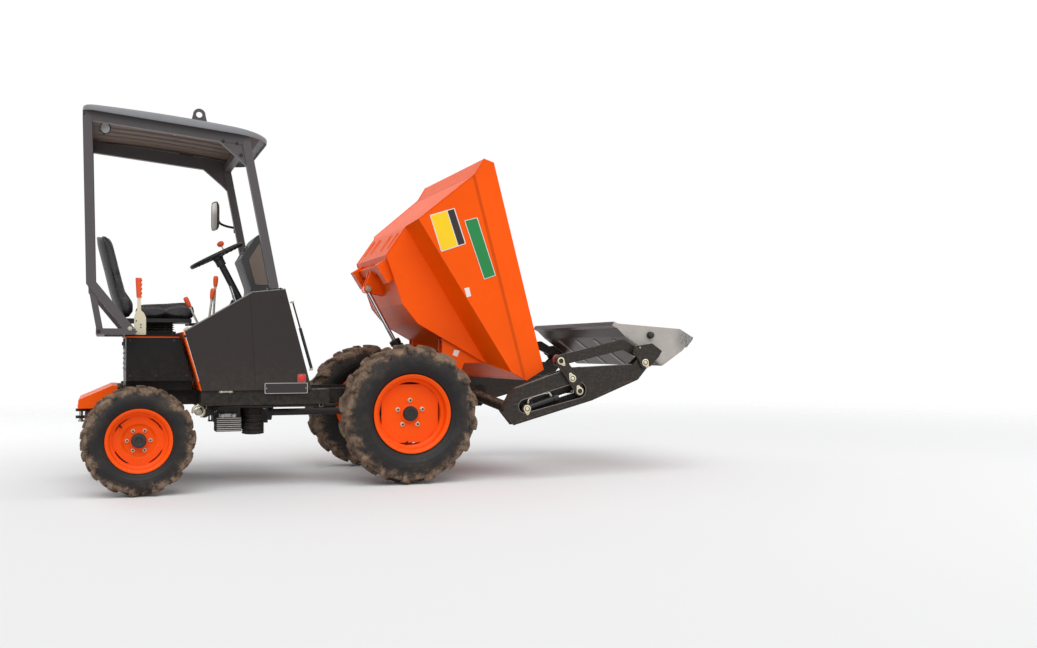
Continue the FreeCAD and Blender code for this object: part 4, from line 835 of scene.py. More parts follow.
# %% Stuffed pads
def loft_across(outline, half, corner, stations=26, around=72):
    """A closed outline in (x, z) set across the seat. Towards each end it shrinks about its middle
    along a quarter circle, so that the ends are rounded off."""
    closed = np.vstack([outline, outline[:1]])
    length = np.concatenate([[0], np.cumsum(np.linalg.norm(np.diff(closed, axis=0), axis=1))])
    walk = np.linspace(0, length[-1], around, endpoint=False)
    line = np.stack([np.interp(walk, length, closed[:, 0]), np.interp(walk, length, closed[:, 1])], 1)
    middle = line.mean(0)
    y = half * np.sin(np.linspace(-math.pi / 2, math.pi / 2, stations))
    over = np.clip((np.abs(y) - (half - corner)) / corner, 0, 1)
    inset = corner * (1 - np.sqrt(1 - over ** 2)) * 0.9
    away = line - middle
    reach = np.linalg.norm(away, axis=1)[None, :, None]
    drawn = middle + away[None] * (1 - inset[:, None, None] / reach * 0.8)
    points = np.stack([drawn[..., 0], np.broadcast_to(y[:, None], drawn.shape[:2]), drawn[..., 1]], -1)
    return skin(points, close_columns=True, caps=True)


def blown_up(name, part, cap):
    """Remeshes the loft at 6 mm and lets cloth pressure swell it; no point moves further than cap.
    Gives the points after swelling, and the faces."""
    mesh = bpy.data.meshes.new(name)
    mesh.from_pydata(part[0].tolist(), [], part[1])
    soft = bpy.data.objects.new(name, mesh)
    bpy.context.scene.collection.objects.link(soft)
    tidy_faces(mesh)
    voxel = soft.modifiers.new("voxel", "REMESH")
    voxel.mode, voxel.voxel_size = "VOXEL", 0.006
    mesh = bpy.data.meshes.new_from_object(soft.evaluated_get(bpy.context.evaluated_depsgraph_get()))
    soft.modifiers.clear()
    soft.data = mesh
    start = np.empty(len(mesh.vertices) * 3)
    mesh.vertices.foreach_get("co", start)
    start = start.reshape(-1, 3)
    end = start
    cloth = soft.modifiers.new("cloth", "CLOTH")
    cloth.settings.use_pressure, cloth.settings.uniform_pressure_force = True, 4.0
    cloth.settings.effector_weights.gravity = 0.0
    for step in range(1, 21):
        bpy.context.scene.frame_set(step)
    moved = soft.evaluated_get(bpy.context.evaluated_depsgraph_get()).to_mesh()
    end = np.empty(len(moved.vertices) * 3)
    moved.vertices.foreach_get("co", end)
    end = end.reshape(-1, 3)
    soft.modifiers.clear()
    bpy.context.scene.frame_set(1)
    shift = end - start
    size = np.linalg.norm(shift, axis=1)[:, None] + 1e-9
    end = start + shift / size * np.minimum(size, cap)
    faces = [tuple(face.vertices) for face in mesh.polygons]
    bpy.data.objects.remove(soft)
    return end, faces


def groove(points, distance, way, depth, width):
    """Presses points in along a direction by depth * exp(-(distance / width) squared)."""
    return points + np.array(way) * (depth * np.exp(-(distance / width) ** 2))[:, None]


def soft_piece(name, points, faces, material, body, replaced):
    """A stuffed piece with one level of subdivision."""
    made = piece(name, [(points, faces)], material, body, [replaced], sharp=180)
    smooth = made.modifiers.new("smooth", "SUBSURF")
    smooth.levels = smooth.render_levels = 1
    return made


print("pads are lofted, blown up, then sewn")

# %% [markdown]
# The seat cover is vinyl: a soft sheen, a pebbled grain about a millimetre across, grey dust rubbed into the top, and
# paler rubbed patches.

# %% Vinyl
def seat_vinyl(name):
    """Vinyl: cell grain for the pebbles, a broad noise for the rubbed and dusty places."""
    shader = Shader(name)
    pebbles = shader.cells(620)
    slow = shader.noise(8, 5, 0.6)
    fine = shader.noise(70, 5, 0.65)
    shade = shader.blend(slow.ramp(0.35, 0.7) * 0.6, srgb(33, 33, 36), srgb(52, 52, 56))
    rubbed = slow.ramp(0.5, 0.72) * fine.ramp(0.4, 0.7)
    shade = shader.blend(rubbed * 0.22, shade, DUST)
    lying = shader.upward().ramp(0.4, 1.0) * fine.ramp(0.35, 0.75)
    shade = shader.blend(lying * 0.20, shade, DUST)
    normal = shader.bump(pebbles, 0.0006, 0.55)
    return shader.surface(shade, rubbed * 0.2 + lying * 0.15 + 0.42, Normal=normal)


vinyl = seat_vinyl("seat_vinyl")
cushion_outline = np.array([(-1.634, 1.046), (-1.285, 1.046), (-1.270, 1.075), (-1.279, 1.117), (-1.332, 1.133),
                            (-1.45, 1.124), (-1.55, 1.118), (-1.634, 1.113)])
points, faces = blown_up("cushion", loft_across(cushion_outline, 0.228, 0.055), 0.012)
top = (points[:, 2] > 1.085).astype(float)
inner = np.clip((0.150 - np.abs(points[:, 1])) / 0.02, 0, 1)
for x in (-1.36, -1.44, -1.52):
    points = groove(points, np.abs(points[:, 0] - x) + (1 - inner) + (1 - top), (0, 0, -1), 0.008, 0.009)
for side in (-1, 1):
    off = np.abs(points[:, 1] - side * 0.158) + (1 - top)
    points = groove(points, off, (0, 0, -1), 0.010, 0.010)
    points = groove(points, np.abs(points[:, 2] - 1.092) + (np.abs(points[:, 1]) < 0.19), (0, -side * 0.5, 0), 0.004, 0.004)
points[:, 2] = np.clip(points[:, 2], 1.0406, 1.150)
points[:, 0] = np.clip(points[:, 0], -1.6435, -1.255)
cushion = soft_piece("seat_cushion_pad", points, faces, vinyl, "chassis", "seat_cushion")
print("cushion", len(points), "points, top at", round(float(points[:, 2].max()), 3))

# %% Backrest
back_outline = np.array([(-1.655, 1.050), (-1.657, 1.128), (-1.704, 1.200), (-1.745, 1.36), (-1.782, 1.505), (-1.812, 1.556),
                         (-1.838, 1.553), (-1.828, 1.49), (-1.790, 1.33), (-1.757, 1.18), (-1.722, 1.10), (-1.712, 1.050)])
points, faces = blown_up("backrest", loft_across(back_outline, 0.214, 0.060), 0.012)
lean = np.array([0.966, 0, 0.257])
along_back = -(points[:, 0] + 1.70) * 0.257 + (points[:, 2] - 1.20) * 0.966
facing = points[:, 0] > np.interp(points[:, 2], [1.05, 1.2, 1.55], [-1.69, -1.735, -1.815])
aside = 1.0 - facing
inner = np.clip((0.135 - np.abs(points[:, 1])) / 0.02, 0, 1)
for level in (-0.02, 0.07, 0.16, 0.25):
    points = groove(points, np.abs(along_back - level) + (1 - inner) + aside, -lean, 0.008, 0.009)
for side in (-1, 1):
    points = groove(points, np.abs(points[:, 1] - side * 0.145) + aside, -lean, 0.010, 0.010)
points[:, 2] = np.clip(points[:, 2], 1.0406, 1.583)
points[:, 0] = np.where(points[:, 2] < 1.19, np.minimum(points[:, 0], -1.6465), points[:, 0])
backrest = soft_piece("seat_back_pad", points, faces, vinyl, "chassis", "seat_back")
print("backrest", len(points), "points, top at", round(float(points[:, 2].max()), 3))

# %% [markdown]
# Behind the back pad is a moulded shell, and below the cushion a slide rail and a rubber bellows
# over the suspension. The shell is a sheet that follows the pad's back and curls round its edges.

# %% Seat shell, rails and bellows
def back_shell():
    """A bent sheet: height along the pad's back line, width across, edges curled forwards by a
    fourth power of the distance from the middle, and corners drawn in at the top."""
    v = np.linspace(0, 1, 28)[:, None]
    u = np.linspace(-1, 1, 36)[None, :]
    line = smooth_line([(-1.738, 1.046), (-1.745, 1.10), (-1.778, 1.20), (-1.812, 1.34), (-1.850, 1.49), (-1.858, 1.545)], 28)
    width = 0.220 * (1 - 0.16 * np.clip((v - 0.80) / 0.20, 0, 1) ** 2)
    curl = 0.034 * np.abs(u) ** 5
    x = line[:, 0:1] + curl + 0 * u
    z = line[:, 1:2] - 0.014 * np.clip((v - 0.85) / 0.15, 0, 1) * u ** 4
    return skin(np.stack(np.broadcast_arrays(x, width * u, z), -1))


shell = piece("seat_back_shell", [back_shell()], black_plastic, "chassis", sharp=60)
thick = shell.modifiers.new("thickness", "SOLIDIFY")
thick.thickness, thick.offset = 0.005, 0.0
rails = []
for side in (-1, 1):
    outline = rounded([(-1.700, 1.0155), (-1.300, 1.0155), (-1.300, 1.0395), (-1.700, 1.0395)], 0.004, 3)
    rails.append(plate(outline, side * 0.1905, side * 0.2105, upright))
    rails.append(carried(smooth_line([(-1.315, side * 0.16, 1.008), (-1.262, side * 0.15, 1.010),
                                      (-1.240, side * 0.08, 1.016)], 14), 0.006, 12))
rails.append(carried([(-1.240, -0.08, 1.016), (-1.238, 0, 1.017), (-1.240, 0.08, 1.016)], 0.006, 12))
piece("seat_rails", rails, black_bolt, "chassis", sharp=40, bevel=0.001)
height = np.linspace(0.9605, 1.0145, 45)
waves = 0.008 * np.cos((height - height[0]) / (height[-1] - height[0]) * 2 * math.pi * 4)
turn = np.linspace(0, 2 * math.pi, 72, endpoint=False)
corner = (np.abs(np.cos(turn)) ** 6 + np.abs(np.sin(turn)) ** 6) ** (-1 / 6)
ring = np.stack([-1.505 + (0.100 + 0 * turn) * corner * np.cos(turn), 0.158 * corner * np.sin(turn)], 1)
out = np.stack([corner * np.cos(turn), corner * np.sin(turn)], 1)
bellows = np.concatenate([ring[None] + waves[:, None, None] * out[None] + 0 * height[:, None, None],
                          np.broadcast_to(height[:, None, None], (45, 72, 1))], -1)
piece("seat_bellows", [skin(bellows, close_columns=True, caps=True)], rubber_black, "chassis", sharp=60)
print("seat shell, rails and bellows")

# %% [markdown]
# The steering wheel is a ring with finger dents on its lower side, three flattened spokes and a
# moulded hub over the column. Everything is worked out in the wheel's own plane and then leant
# back by about 27 degrees, which is what `wheel_plane` does. The red spinner knob stands on the rim.

# %% Steering wheel
WHEEL_MIDDLE = np.array([-1.132, 0, 1.460])
WHEEL_UP = unit([-0.462, 0, 0.887])
WHEEL_AHEAD = np.array([WHEEL_UP[2], 0, -WHEEL_UP[0]])


def wheel_plane(points):
    """From the wheel's own plane (ahead, left, up) to where it stands."""
    points = np.asarray(points, float)
    return (WHEEL_MIDDLE + points[..., 0:1] * WHEEL_AHEAD + points[..., 1:2] * np.array([0, 1.0, 0])
            + points[..., 2:3] * WHEEL_UP)


def grip_ring(radius, thick):
    """A ring whose section swells and dents 30 times on its lower half."""
    turn = np.linspace(0, 2 * math.pi, 240, endpoint=False)[:, None]
    round_it = np.linspace(0, 2 * math.pi, 18, endpoint=False)[None, :]
    dents = 0.0013 * np.cos(30 * turn) * np.clip(-np.sin(round_it), 0, 1)
    section = thick - 0.0004 + dents
    reach = radius + section * np.cos(round_it)
    return skin(wheel_plane(np.stack(np.broadcast_arrays(reach * np.cos(turn), reach * np.sin(turn),
                                                         section * np.sin(round_it)), -1)),
                close_rows=True, close_columns=True)


def spoke(turn):
    """An oval bar from hub to ring: wide at the hub, dished down in its middle."""
    share = np.linspace(0, 1, 16)
    reach = 0.020 + 0.150 * share
    middle = np.stack([reach, 0 * share, -0.014 + 0.010 * share ** 3], 1)
    wide, deep = 0.0155 - 0.0050 * share + 0.005 * share ** 8, 0.0048 - 0.001 * share
    round_it = np.linspace(0, 2 * math.pi, 16, endpoint=False)[None, :]
    local = np.stack([middle[:, 0:1] + 0 * round_it, wide[:, None] * np.cos(round_it),
                      middle[:, 2:3] + deep[:, None] * np.sin(round_it)], -1)
    c, s = math.cos(turn), math.sin(turn)
    rotated = np.stack([local[..., 0] * c - local[..., 1] * s, local[..., 0] * s + local[..., 1] * c, local[..., 2]], -1)
    return skin(wheel_plane(rotated), close_columns=True, caps=True)


def on_wheel(profile, ahead, left, steps=40):
    """A turned piece whose axis stands square to the wheel's plane."""
    return lathe(profile, wheel_plane([[ahead, left, 0]])[0], WHEEL_UP, steps)


hub_line = smooth_line([(-0.0335, 0.031), (-0.024, 0.034), (-0.016, 0.033), (-0.008, 0.036), (-0.0015, 0.034),
                        (0.0025, 0.024), (0.0035, 0.004)], 26)
wheel_parts = [grip_ring(0.172, 0.013), on_wheel(hub_line, 0, 0, 56)]
wheel_parts += [spoke(math.radians(angle)) for angle in (60, 180, 300)]
piece("steering_wheel_ring", wheel_parts, rubber_black, "steering_wheel", ["steering_wheel"], sharp=50)
stem_line = [(0.006, 0.0065), (0.012, 0.0065), (0.013, 0.005), (0.036, 0.005)]
piece("spinner_stem", [on_wheel(stem_line, 0.035, -0.165, 20)], zinc, "steering_wheel", sharp=40)
knob_line = smooth_line([(0.0325, 0.0090), (0.0350, 0.0135), (0.0410, 0.0195), (0.0490, 0.0228), (0.0570, 0.0218),
                         (0.0640, 0.0150), (0.0672, 0.003)], 28)
piece("spinner_knob", [on_wheel(knob_line, 0.035, -0.165, 40)], grip_orange, "steering_wheel", sharp=60)
print("steering wheel", len(wheel_parts), "parts and a knob")

# %% [markdown]
# The hand levers stand in a steel pedestal at the driver's right. A rubber gaiter seals the foot of
# each rod, and each rod ends in a tapered orange grip. The parking brake is a different thing: a
# pale flat lever with a narrow neck, and a grip with four finger dents.

# %% Hand levers
def gaiter(foot, way, radius, tall, folds):
    """A ribbed cone: the radius shrinks along the rod and swings in and out with each fold."""
    along = np.linspace(0, tall, folds * 10)
    r = radius * (1 - 0.62 * along / tall) + 0.0028 * np.cos(along / tall * 2 * math.pi * folds)
    return lathe(np.stack([along, r], 1), foot, way, 32)


lever_places = ((-1.244, -0.300, -1.318, 1.170), (-1.215, -0.325, -1.190, 1.220), (-1.180, -0.280, -1.165, 1.300))
rods, grips, gaiters = [], [], []
for x, y, tip_x, tip_z in lever_places:
    foot, neck = np.array([x, y, 0.955]), np.array([tip_x, y, tip_z - 0.060])
    way = unit(neck - foot)
    rods.append(carried([foot, neck + way * 0.004], 0.0068, 16))
    rods.append(lathe([(-0.010, 0.0105), (-0.001, 0.0105), (0.001, 0.0085)], neck, way, 6))
    grips.append(lathe(smooth_line([(0, 0.0095), (0.010, 0.0125), (0.034, 0.0150), (0.056, 0.0150), (0.066, 0.0105),
                                    (0.0685, 0.002)], 24), neck, way, 28))
    gaiters.append(gaiter(np.array([x, y, 0.9605]), way, 0.021, 0.050, 5))
pedestal = plate(rounded([(-1.256, 0.6065), (-1.150, 0.6065), (-1.150, 0.960), (-1.256, 0.960)], 0.006, 4), -0.345, -0.255, upright)
piece("lever_pedestal", [pedestal], box_black, "chassis", ["control_levers"], bevel=0.002, sharp=40)
piece("lever_rods", rods, zinc, "chassis", sharp=40)
piece("lever_grips", grips, grip_orange, "chassis", sharp=60)
piece("lever_gaiters", gaiters, rubber_black, "chassis", sharp=60)

brake_y = -0.430
body_outline = rounded([(-1.646, 0.9345), (-1.578, 0.9345), (-1.579, 1.040), (-1.592, 1.068), (-1.607, 1.080), (-1.609, 1.172),
                        (-1.629, 1.172), (-1.630, 1.080), (-1.640, 1.068), (-1.646, 1.040)], 0.006, 4)
cream = painted("cream_paint", srgb(226, 216, 188), 0.45, 0.22, 0.5)
piece("brake_lever_blade", [plate(body_outline, brake_y - 0.007, brake_y + 0.007, upright)], cream, "chassis",
      ["brake_lever"], bevel=0.0015, sharp=40)
grip_height = np.linspace(0, 0.118, 60)
dents = 0.0026 * np.cos(grip_height / 0.118 * 2 * math.pi * 4.5)
grip_turn = np.linspace(0, 2 * math.pi, 32, endpoint=False)[None, :]
swell = 0.0150 + 0.0035 * (grip_height[:, None] / 0.118) - 0.006 * np.clip(grip_height[:, None] / 0.118 - 0.95, 0, 1) * 20 * 0.3
reach = swell + dents[:, None] * np.clip(np.cos(grip_turn), 0, 1)
grip_points = np.stack(np.broadcast_arrays(-1.619 - 0.03 * grip_height[:, None] + reach * np.cos(grip_turn),
                                           brake_y + reach * 0.82 * np.sin(grip_turn),
                                           1.158 + grip_height[:, None] + 0 * grip_turn), -1)
piece("brake_lever_grip", [skin(grip_points, close_columns=True, caps=True)], grip_orange, "chassis", sharp=50)
dots = [lathe([(0, 0.0042), (0.0022, 0.0042)], (x, brake_y - 0.0065, z), (0, -1, 0), 16)
        for x, z in ((-1.634, 0.955), (-1.634, 1.018), (-1.608, 0.996), (-1.608, 0.980))]
piece("brake_lever_rivets", dots, black_bolt, "chassis", sharp=40)
print("levers", len(lever_places), "and a parking brake")

# %% [markdown]
# The instrument housing is a black moulded hood with a paler panel let into each side. Its face
# looks at the driver and carries a round dial and a row of blank warning lamps and switches, all
# left without lettering.

# %% Instrument housing
housing = rounded([(-0.9400, 1.1960), (-0.8125, 1.2110), (-0.800, 1.236), (-0.866, 1.556), (-0.886, 1.590), (-0.907, 1.574),
                   (-0.999, 1.430), (-0.989, 1.404), (-0.932, 1.242)], [0.002, 0.002, 0.02, 0.012, 0.012, 0.012, 0.010, 0.012, 0.03], 6)
piece("instrument_hood", [plate(housing, -0.186, 0.186, upright)], black_plastic, "chassis",
      ["dashboard"], bevel=0.007, segments=3, sharp=50)
side_inset = rounded([(-0.907, 1.262), (-0.826, 1.262), (-0.881, 1.535), (-0.949, 1.424)], 0.014, 5)
insets = [plate(side_inset, side * 0.184, side * 0.189, upright) for side in (-1, 1)]
smoked = painted("smoked_panel", srgb(112, 98, 88), 0.35, 0.1, 0.2)
piece("instrument_side_panels", insets, smoked, "chassis", bevel=0.0015, sharp=40)

FACE_FOOT, FACE_HEAD = np.array([-0.997, 0, 1.427]), np.array([-0.908, 0, 1.567])
face_up = unit(FACE_HEAD - FACE_FOOT)
face_out = np.array([-face_up[2], 0, face_up[0]])


def on_face(up, left, out=0.0):
    """A place on the instrument face: up along it, left across it, and out from it."""
    return FACE_FOOT + face_up * up + np.array([0, left, 0]) + face_out * out


trims, glasses, lights = [], [], []
trims.append(lathe([(-0.002, 0.040), (0.004, 0.040), (0.006, 0.037), (0.0045, 0.034), (0.001, 0.033)], on_face(0.085, 0.0), face_out, 48))
glasses.append(lathe([(0.0, 0.0335), (0.0022, 0.0335), (0.0026, 0.02)], on_face(0.085, 0.0), face_out, 40))
for k in range(5):
    lights.append(lathe([(-0.001, 0.0048), (0.0018, 0.0048), (0.0030, 0.0030)], on_face(0.030, -0.048 + 0.024 * k), face_out, 18))
for left in (-0.110, -0.142, 0.110, 0.142):
    corners = [on_face(0.055 + a, left + b) for a, b in ((-0.018, -0.011), (-0.018, 0.011), (0.018, 0.011), (0.018, -0.011))]
    block = np.array([corners, [c + face_out * 0.006 for c in corners]])
    trims.append(skin(block, close_columns=True, caps=True))
trims.append(lathe([(-0.001, 0.016), (0.006, 0.016), (0.008, 0.013)], on_face(0.100, 0.125), face_out, 32))
piece("instrument_trim", trims, rubber_black, "chassis", bevel=0.0008, sharp=40)
dial = painted("dial_glass", srgb(18, 20, 24), 0.12, 0.05, 0.2, coat=0.6)
piece("instrument_dial", glasses, dial, "chassis", sharp=40)
piece("instrument_lamps", lights, lamp_red, "chassis", sharp=40)
print("instrument housing with", len(lights), "lamps")

# %% [markdown]
# The mirror is turned towards the driver, so its rounded frame shows from the side. A superellipse
# gives both the frame's outline and its bulged back; the glass sits a little way inside the rim.

# %% Mirror
MIRROR_MIDDLE = np.array([-1.0785, 0.655, 1.795])
mirror_face = unit([-math.cos(math.radians(14)), -math.sin(math.radians(14)), 0])
mirror_side = np.array([mirror_face[1], -mirror_face[0], 0])


def mirror_grid(depths, shrinks, wide, tall):
    """Rings of a superellipse of power 5, one for each depth along the mirror's facing direction."""
    turn = np.linspace(0, 2 * math.pi, 64, endpoint=False)
    swell = (np.abs(np.cos(turn)) ** 5 + np.abs(np.sin(turn)) ** 5) ** (-1 / 5)
    u, v = swell * np.cos(turn), swell * np.sin(turn)
    rings = [MIRROR_MIDDLE + mirror_face * d + s * wide * u[:, None] * mirror_side
             + s * tall * v[:, None] * np.array([0, 0, 1.0]) for d, s in zip(depths, shrinks)]
    return skin(np.array(rings), close_columns=True, caps=True)


case = mirror_grid([-0.0125, -0.012, -0.009, 0.000, 0.009, 0.0115, 0.0110, 0.0085], [0.2, 0.62, 0.84, 0.97, 1, 0.985, 0.93, 0.915], 0.062, 0.103)
piece("mirror_case", [case], black_plastic, "chassis", ["mirror_head"], sharp=55)
# painted reflection: the glass is tinted grey-brown to stand in for the ground it would mirror, since the backdrop it
# sees is white
mirror_glass_ground_reflection = plated("mirror_glass_ground_reflection", srgb(112, 103, 95), 0.14)
piece("mirror_pane", [mirror_grid([0.0080, 0.0100, 0.0102], [0.915, 0.915, 0.90], 0.062, 0.103)], mirror_glass_ground_reflection, "chassis", sharp=40)
arm_line = smooth_line([(-0.935, 0.5785, 1.705), (-0.930, 0.610, 1.709), (-0.948, 0.641, 1.715), (-1.010, 0.651, 1.728), (-1.050, 0.655, 1.748),
                        (-1.066, 0.655, 1.785)], 40)
clamp = [plate(rounded([(-0.962, 1.672), (-0.912, 1.672), (-0.912, 1.738), (-0.962, 1.738)], 0.008, 4), 0.5755, 0.590, upright),
         lathe([(0, 0.011), (0.030, 0.011), (0.032, 0.008)], (-0.937, 0.578, 1.705), (0, 1, 0), 24)]
piece("mirror_stalk", [carried(arm_line, 0.0085, 16), *clamp], black_bolt, "chassis", ["mirror_arm"], bevel=0.001, sharp=50)
column_rods, column_nuts = [], []
for side in (-1, 1):
    low_end, high_end = np.array([-0.990, side * 0.045, 1.090]), np.array([-1.044, side * 0.0345, 1.262])
    column_rods.append(carried([low_end, high_end], 0.0050, 14))
    for place in (low_end + unit(high_end - low_end) * 0.105, high_end - unit(high_end - low_end) * 0.014):
        column_nuts += hexagon(place, high_end - low_end, 0.013, 0.010, 1.2)
piece("column_rods", column_rods, chrome, "chassis", sharp=50)
piece("column_nuts", column_nuts, zinc, "chassis", sharp=30)
print("mirror turned 14 degrees towards the driver")

# %% [markdown]
# The roof is one moulded sheet. Its plan is a rectangle with large round corners at the front, and
# each ring of the surface is that plan drawn in by some distance; a crown is added as the sagitta
# of a 9-metre arc. The edge rolls over with a quarter circle, and the same rings come back below
# as the underside, where seven stiffening ribs run lengthways.

# %% Roof
ROOF_LENGTH, ROOF_HALF, ROOF_REAR, ROOF_EDGE, ROOF_FALL = 1.077, 0.612, -1.937, 2.26419, math.radians(5.6)
ROOF_CROWN = 9.0


def roof_plan(inset):
    """The plan drawn in by an inset: four arcs, whose radius shrinks by the same, joined by lines."""
    outline = []
    for sx, sy, corner, start in ((1, -1, 0.230, -90), (1, 1, 0.230, 0), (-1, 1, 0.070, 90), (-1, -1, 0.070, 180)):
        radius = max(corner - inset, 0.004)
        reach = np.array([ROOF_LENGTH / 2 - inset - radius, ROOF_HALF - inset - radius])
        turn = np.radians(start + np.linspace(0, 90, 14))
        outline.append(np.array([sx, sy]) * reach + radius * np.stack([np.cos(turn), np.sin(turn)], 1))
    line = np.concatenate(outline)
    along = np.concatenate([[0], np.cumsum(np.linalg.norm(np.diff(np.vstack([line, line[:1]]), axis=0), axis=1))])
    even = np.linspace(0, along[-1], 160, endpoint=False)
    looped = np.vstack([line, line[:1]])
    return np.stack([np.interp(even, along, looped[:, 0]), np.interp(even, along, looped[:, 1])], 1)


def roof_place(local):
    """From the roof's level frame, whose x starts at the rear edge, to where it leans on the posts."""
    c, s = math.cos(ROOF_FALL), math.sin(ROOF_FALL)
    x, y, z = local[..., 0] + ROOF_LENGTH / 2, local[..., 1], local[..., 2]
    rise = ROOF_EDGE + ROOF_LENGTH ** 2 / 8 / ROOF_CROWN
    return np.stack([ROOF_REAR + x * c + z * s, y, rise - x * s + z * c], -1)


def crown(x):
    return np.sqrt(ROOF_CROWN ** 2 - x ** 2) - ROOF_CROWN


def roof_ring(inset, drop, flat=0.0):
    plan = roof_plan(inset)
    height = crown(plan[:, 0]) * (1 - flat) + drop
    return roof_place(np.stack([plan[:, 0], plan[:, 1], height], 1))


roll = [(0.020 - 0.020 * math.sin(a), -0.018 * (1 - math.cos(a)), 0.25 * a) for a in np.linspace(0, math.pi / 2, 7)]
rings = [(0.530, 0, 0), (0.38, 0, 0), (0.24, 0, 0), (0.13, 0, 0), (0.070, 0, 0), (0.040, 0, 0), (0.028, 0, 0), *roll,
         (0.0, -0.032, 0.7), (0.0, -0.0455, 1), (0.0020, -0.0478, 1), (0.0050, -0.0470, 1), (0.0062, -0.040, 1),
         (0.0065, -0.026, 0.5), (0.012, -0.0115, 0.1), (0.026, -0.0065, 0), (0.07, -0.006, 0), (0.24, -0.006, 0),
         (0.530, -0.006, 0)]
sheet = skin(np.array([roof_ring(*ring) for ring in rings]), close_columns=True, caps=True)


def roof_rib(y):
    """A long low ridge below the sheet: a raised-cosine section that fades out at both ends."""
    x = np.linspace(-0.470, 0.440, 60)[:, None]
    across = np.linspace(-0.022, 0.022, 15)[None, :]
    fade = np.clip(np.minimum(x + 0.470, 0.440 - x) / 0.03, 0, 1) ** 0.5
    depth = 0.011 * (0.5 + 0.5 * np.cos(across / 0.022 * math.pi)) ** 0.6 * fade
    low = np.stack(np.broadcast_arrays(x, y + across, crown(x) - 0.0055 - depth), -1)
    return skin(roof_place(low))


ribs = [roof_rib(0.140 * k) for k in range(-3, 4)]
roof = piece("roof_moulding", [sheet], roof_top, "chassis", ["canopy"], sharp=60)
under_tint = moulded("roof_underside", srgb(102, 84, 72), 0.66, 0.00012, 0.1)
piece("roof_ribs", ribs, under_tint, "chassis", sharp=60)
lining = [roof_ring(inset, -0.0075) for inset in (0.045, 0.12, 0.24, 0.38, 0.53)]
piece("roof_lining", [skin(np.array(lining), close_columns=True, caps=False)], under_tint, "chassis", sharp=60)

eye_trims, rail_bolts = [], []
for side in (-1, 1):
    y = side * 0.550
    turn = np.linspace(0, 2 * math.pi, 40, endpoint=False)
    local = np.array([-1.290 - ROOF_REAR - ROOF_LENGTH / 2, y])
    loop = []
    for grow, lift in ((0.000, 0.0005), (0.0, 0.0042), (-0.004, 0.0055), (-0.009, 0.0042), (-0.009, 0.0)):
        px = local[0] + (0.050 + grow) * np.sign(np.cos(turn)) * np.abs(np.cos(turn)) ** 0.35
        py = y + (0.020 + grow) * np.sign(np.sin(turn)) * np.abs(np.sin(turn)) ** 0.35
        loop.append(roof_place(np.stack([px, py, crown(px) + lift], 1)))
    eye_trims.append(skin(np.array(loop), close_columns=True))
    for x in (-0.44, -0.24, 0.24, 0.33):
        spot = roof_place(np.array([[x, y, crown(x) - 0.0005]]))[0]
        rail_bolts += hexagon(spot, (math.sin(ROOF_FALL), 0, math.cos(ROOF_FALL)), 0.015, 0.006, 1.7)
piece("roof_eye_trims", eye_trims, rubber_black, "chassis", sharp=60)
piece("roof_bolts", rail_bolts, black_bolt, "chassis", sharp=30)
print("roof", len(roof.data.polygons), "faces and", len(ribs), "ribs")

# %% [markdown]
# The posts are square tubes with worn-in gussets. Bolts hold the feet, and a small round lamp stands on the rear cross
# rail.

# %% Post bolts and work light
post_bolts, foot_bolts = [], []
for side in (-1, 1):
    out = (0, side, 0)
    for x, z in ((-1.150, 2.1075), (-1.070, 2.0990), (-1.0455, 2.0270)):
        post_bolts += hexagon((x, side * 0.5665, z), out, 0.016, 0.008, 1.4)
    for x, z in ((-0.872, 1.2135), (-0.806, 1.2185)):
        post_bolts += hexagon((x, side * (0.570 if side < 0 else 0.567), z), out, 0.013, 0.007, 1.3)
    post_bolts += hexagon((-1.842, side * 0.5745, 0.9525), out, 0.016, 0.008, 1.35)
    foot_bolts += hexagon((-1.672, side * 0.5745, 0.9700), out, 0.019, 0.009, 1.35)
piece("post_bolts", post_bolts, black_bolt, "chassis", sharp=30)
piece("post_foot_bolts", foot_bolts, zinc, "chassis", sharp=30)

place, way = np.array([-1.815, -0.200, 2.206]), unit([-0.45, -0.80, -0.25])
case_line = smooth_line([(-0.024, 0.006), (-0.022, 0.018), (-0.014, 0.029), (-0.002, 0.034), (0.006, 0.0355),
                         (0.0075, 0.033), (0.0035, 0.031)], 26)
stalk_line = [place - way * 0.018, place - way * 0.026 + [-0.004, 0, -0.014], (-1.826, -0.178, 2.168)]
light_parts = [lathe(case_line, place, way, 40), carried(stalk_line, 0.006, 12)]
light_glass = [lathe([(0.001, 0.031), (0.0045, 0.030), (0.0062, 0.018), (0.0066, 0.002)], place, way, 40)]
piece("work_light_case", light_parts, black_plastic, "chassis", sharp=50)
clear_lens = painted("clear_lens", srgb(196, 198, 200), 0.14, 0.08, 0.2, coat=0.5)
piece("work_light_lens", light_glass, clear_lens, "chassis", sharp=50)
print((len(post_bolts) + len(foot_bolts)) // 2, "bolts on the posts")

# %% [markdown]
# The side panel on the driver's right has a folded top edge, coloured much lighter than the panel as a painted
# highlight, a joint line between its two sheets, a blank name plate in a pale frame, and a red reflector in its holder.
# The panel on the left gets the same joint and fold.

# %% Side panels
def strip(path, wide, near, far, flip=1):
    """A flat strip along a path in X and Z, as wide as given, between two places across."""
    path = np.array(path, float)
    slope = np.gradient(path, axis=0)
    slope /= np.linalg.norm(slope, axis=1)[:, None]
    square = np.stack([-slope[:, 1], slope[:, 0]], 1) * wide / 2
    outline = np.concatenate([path + square, (path - square)[::-1]])
    return plate(outline, near, far, upright)


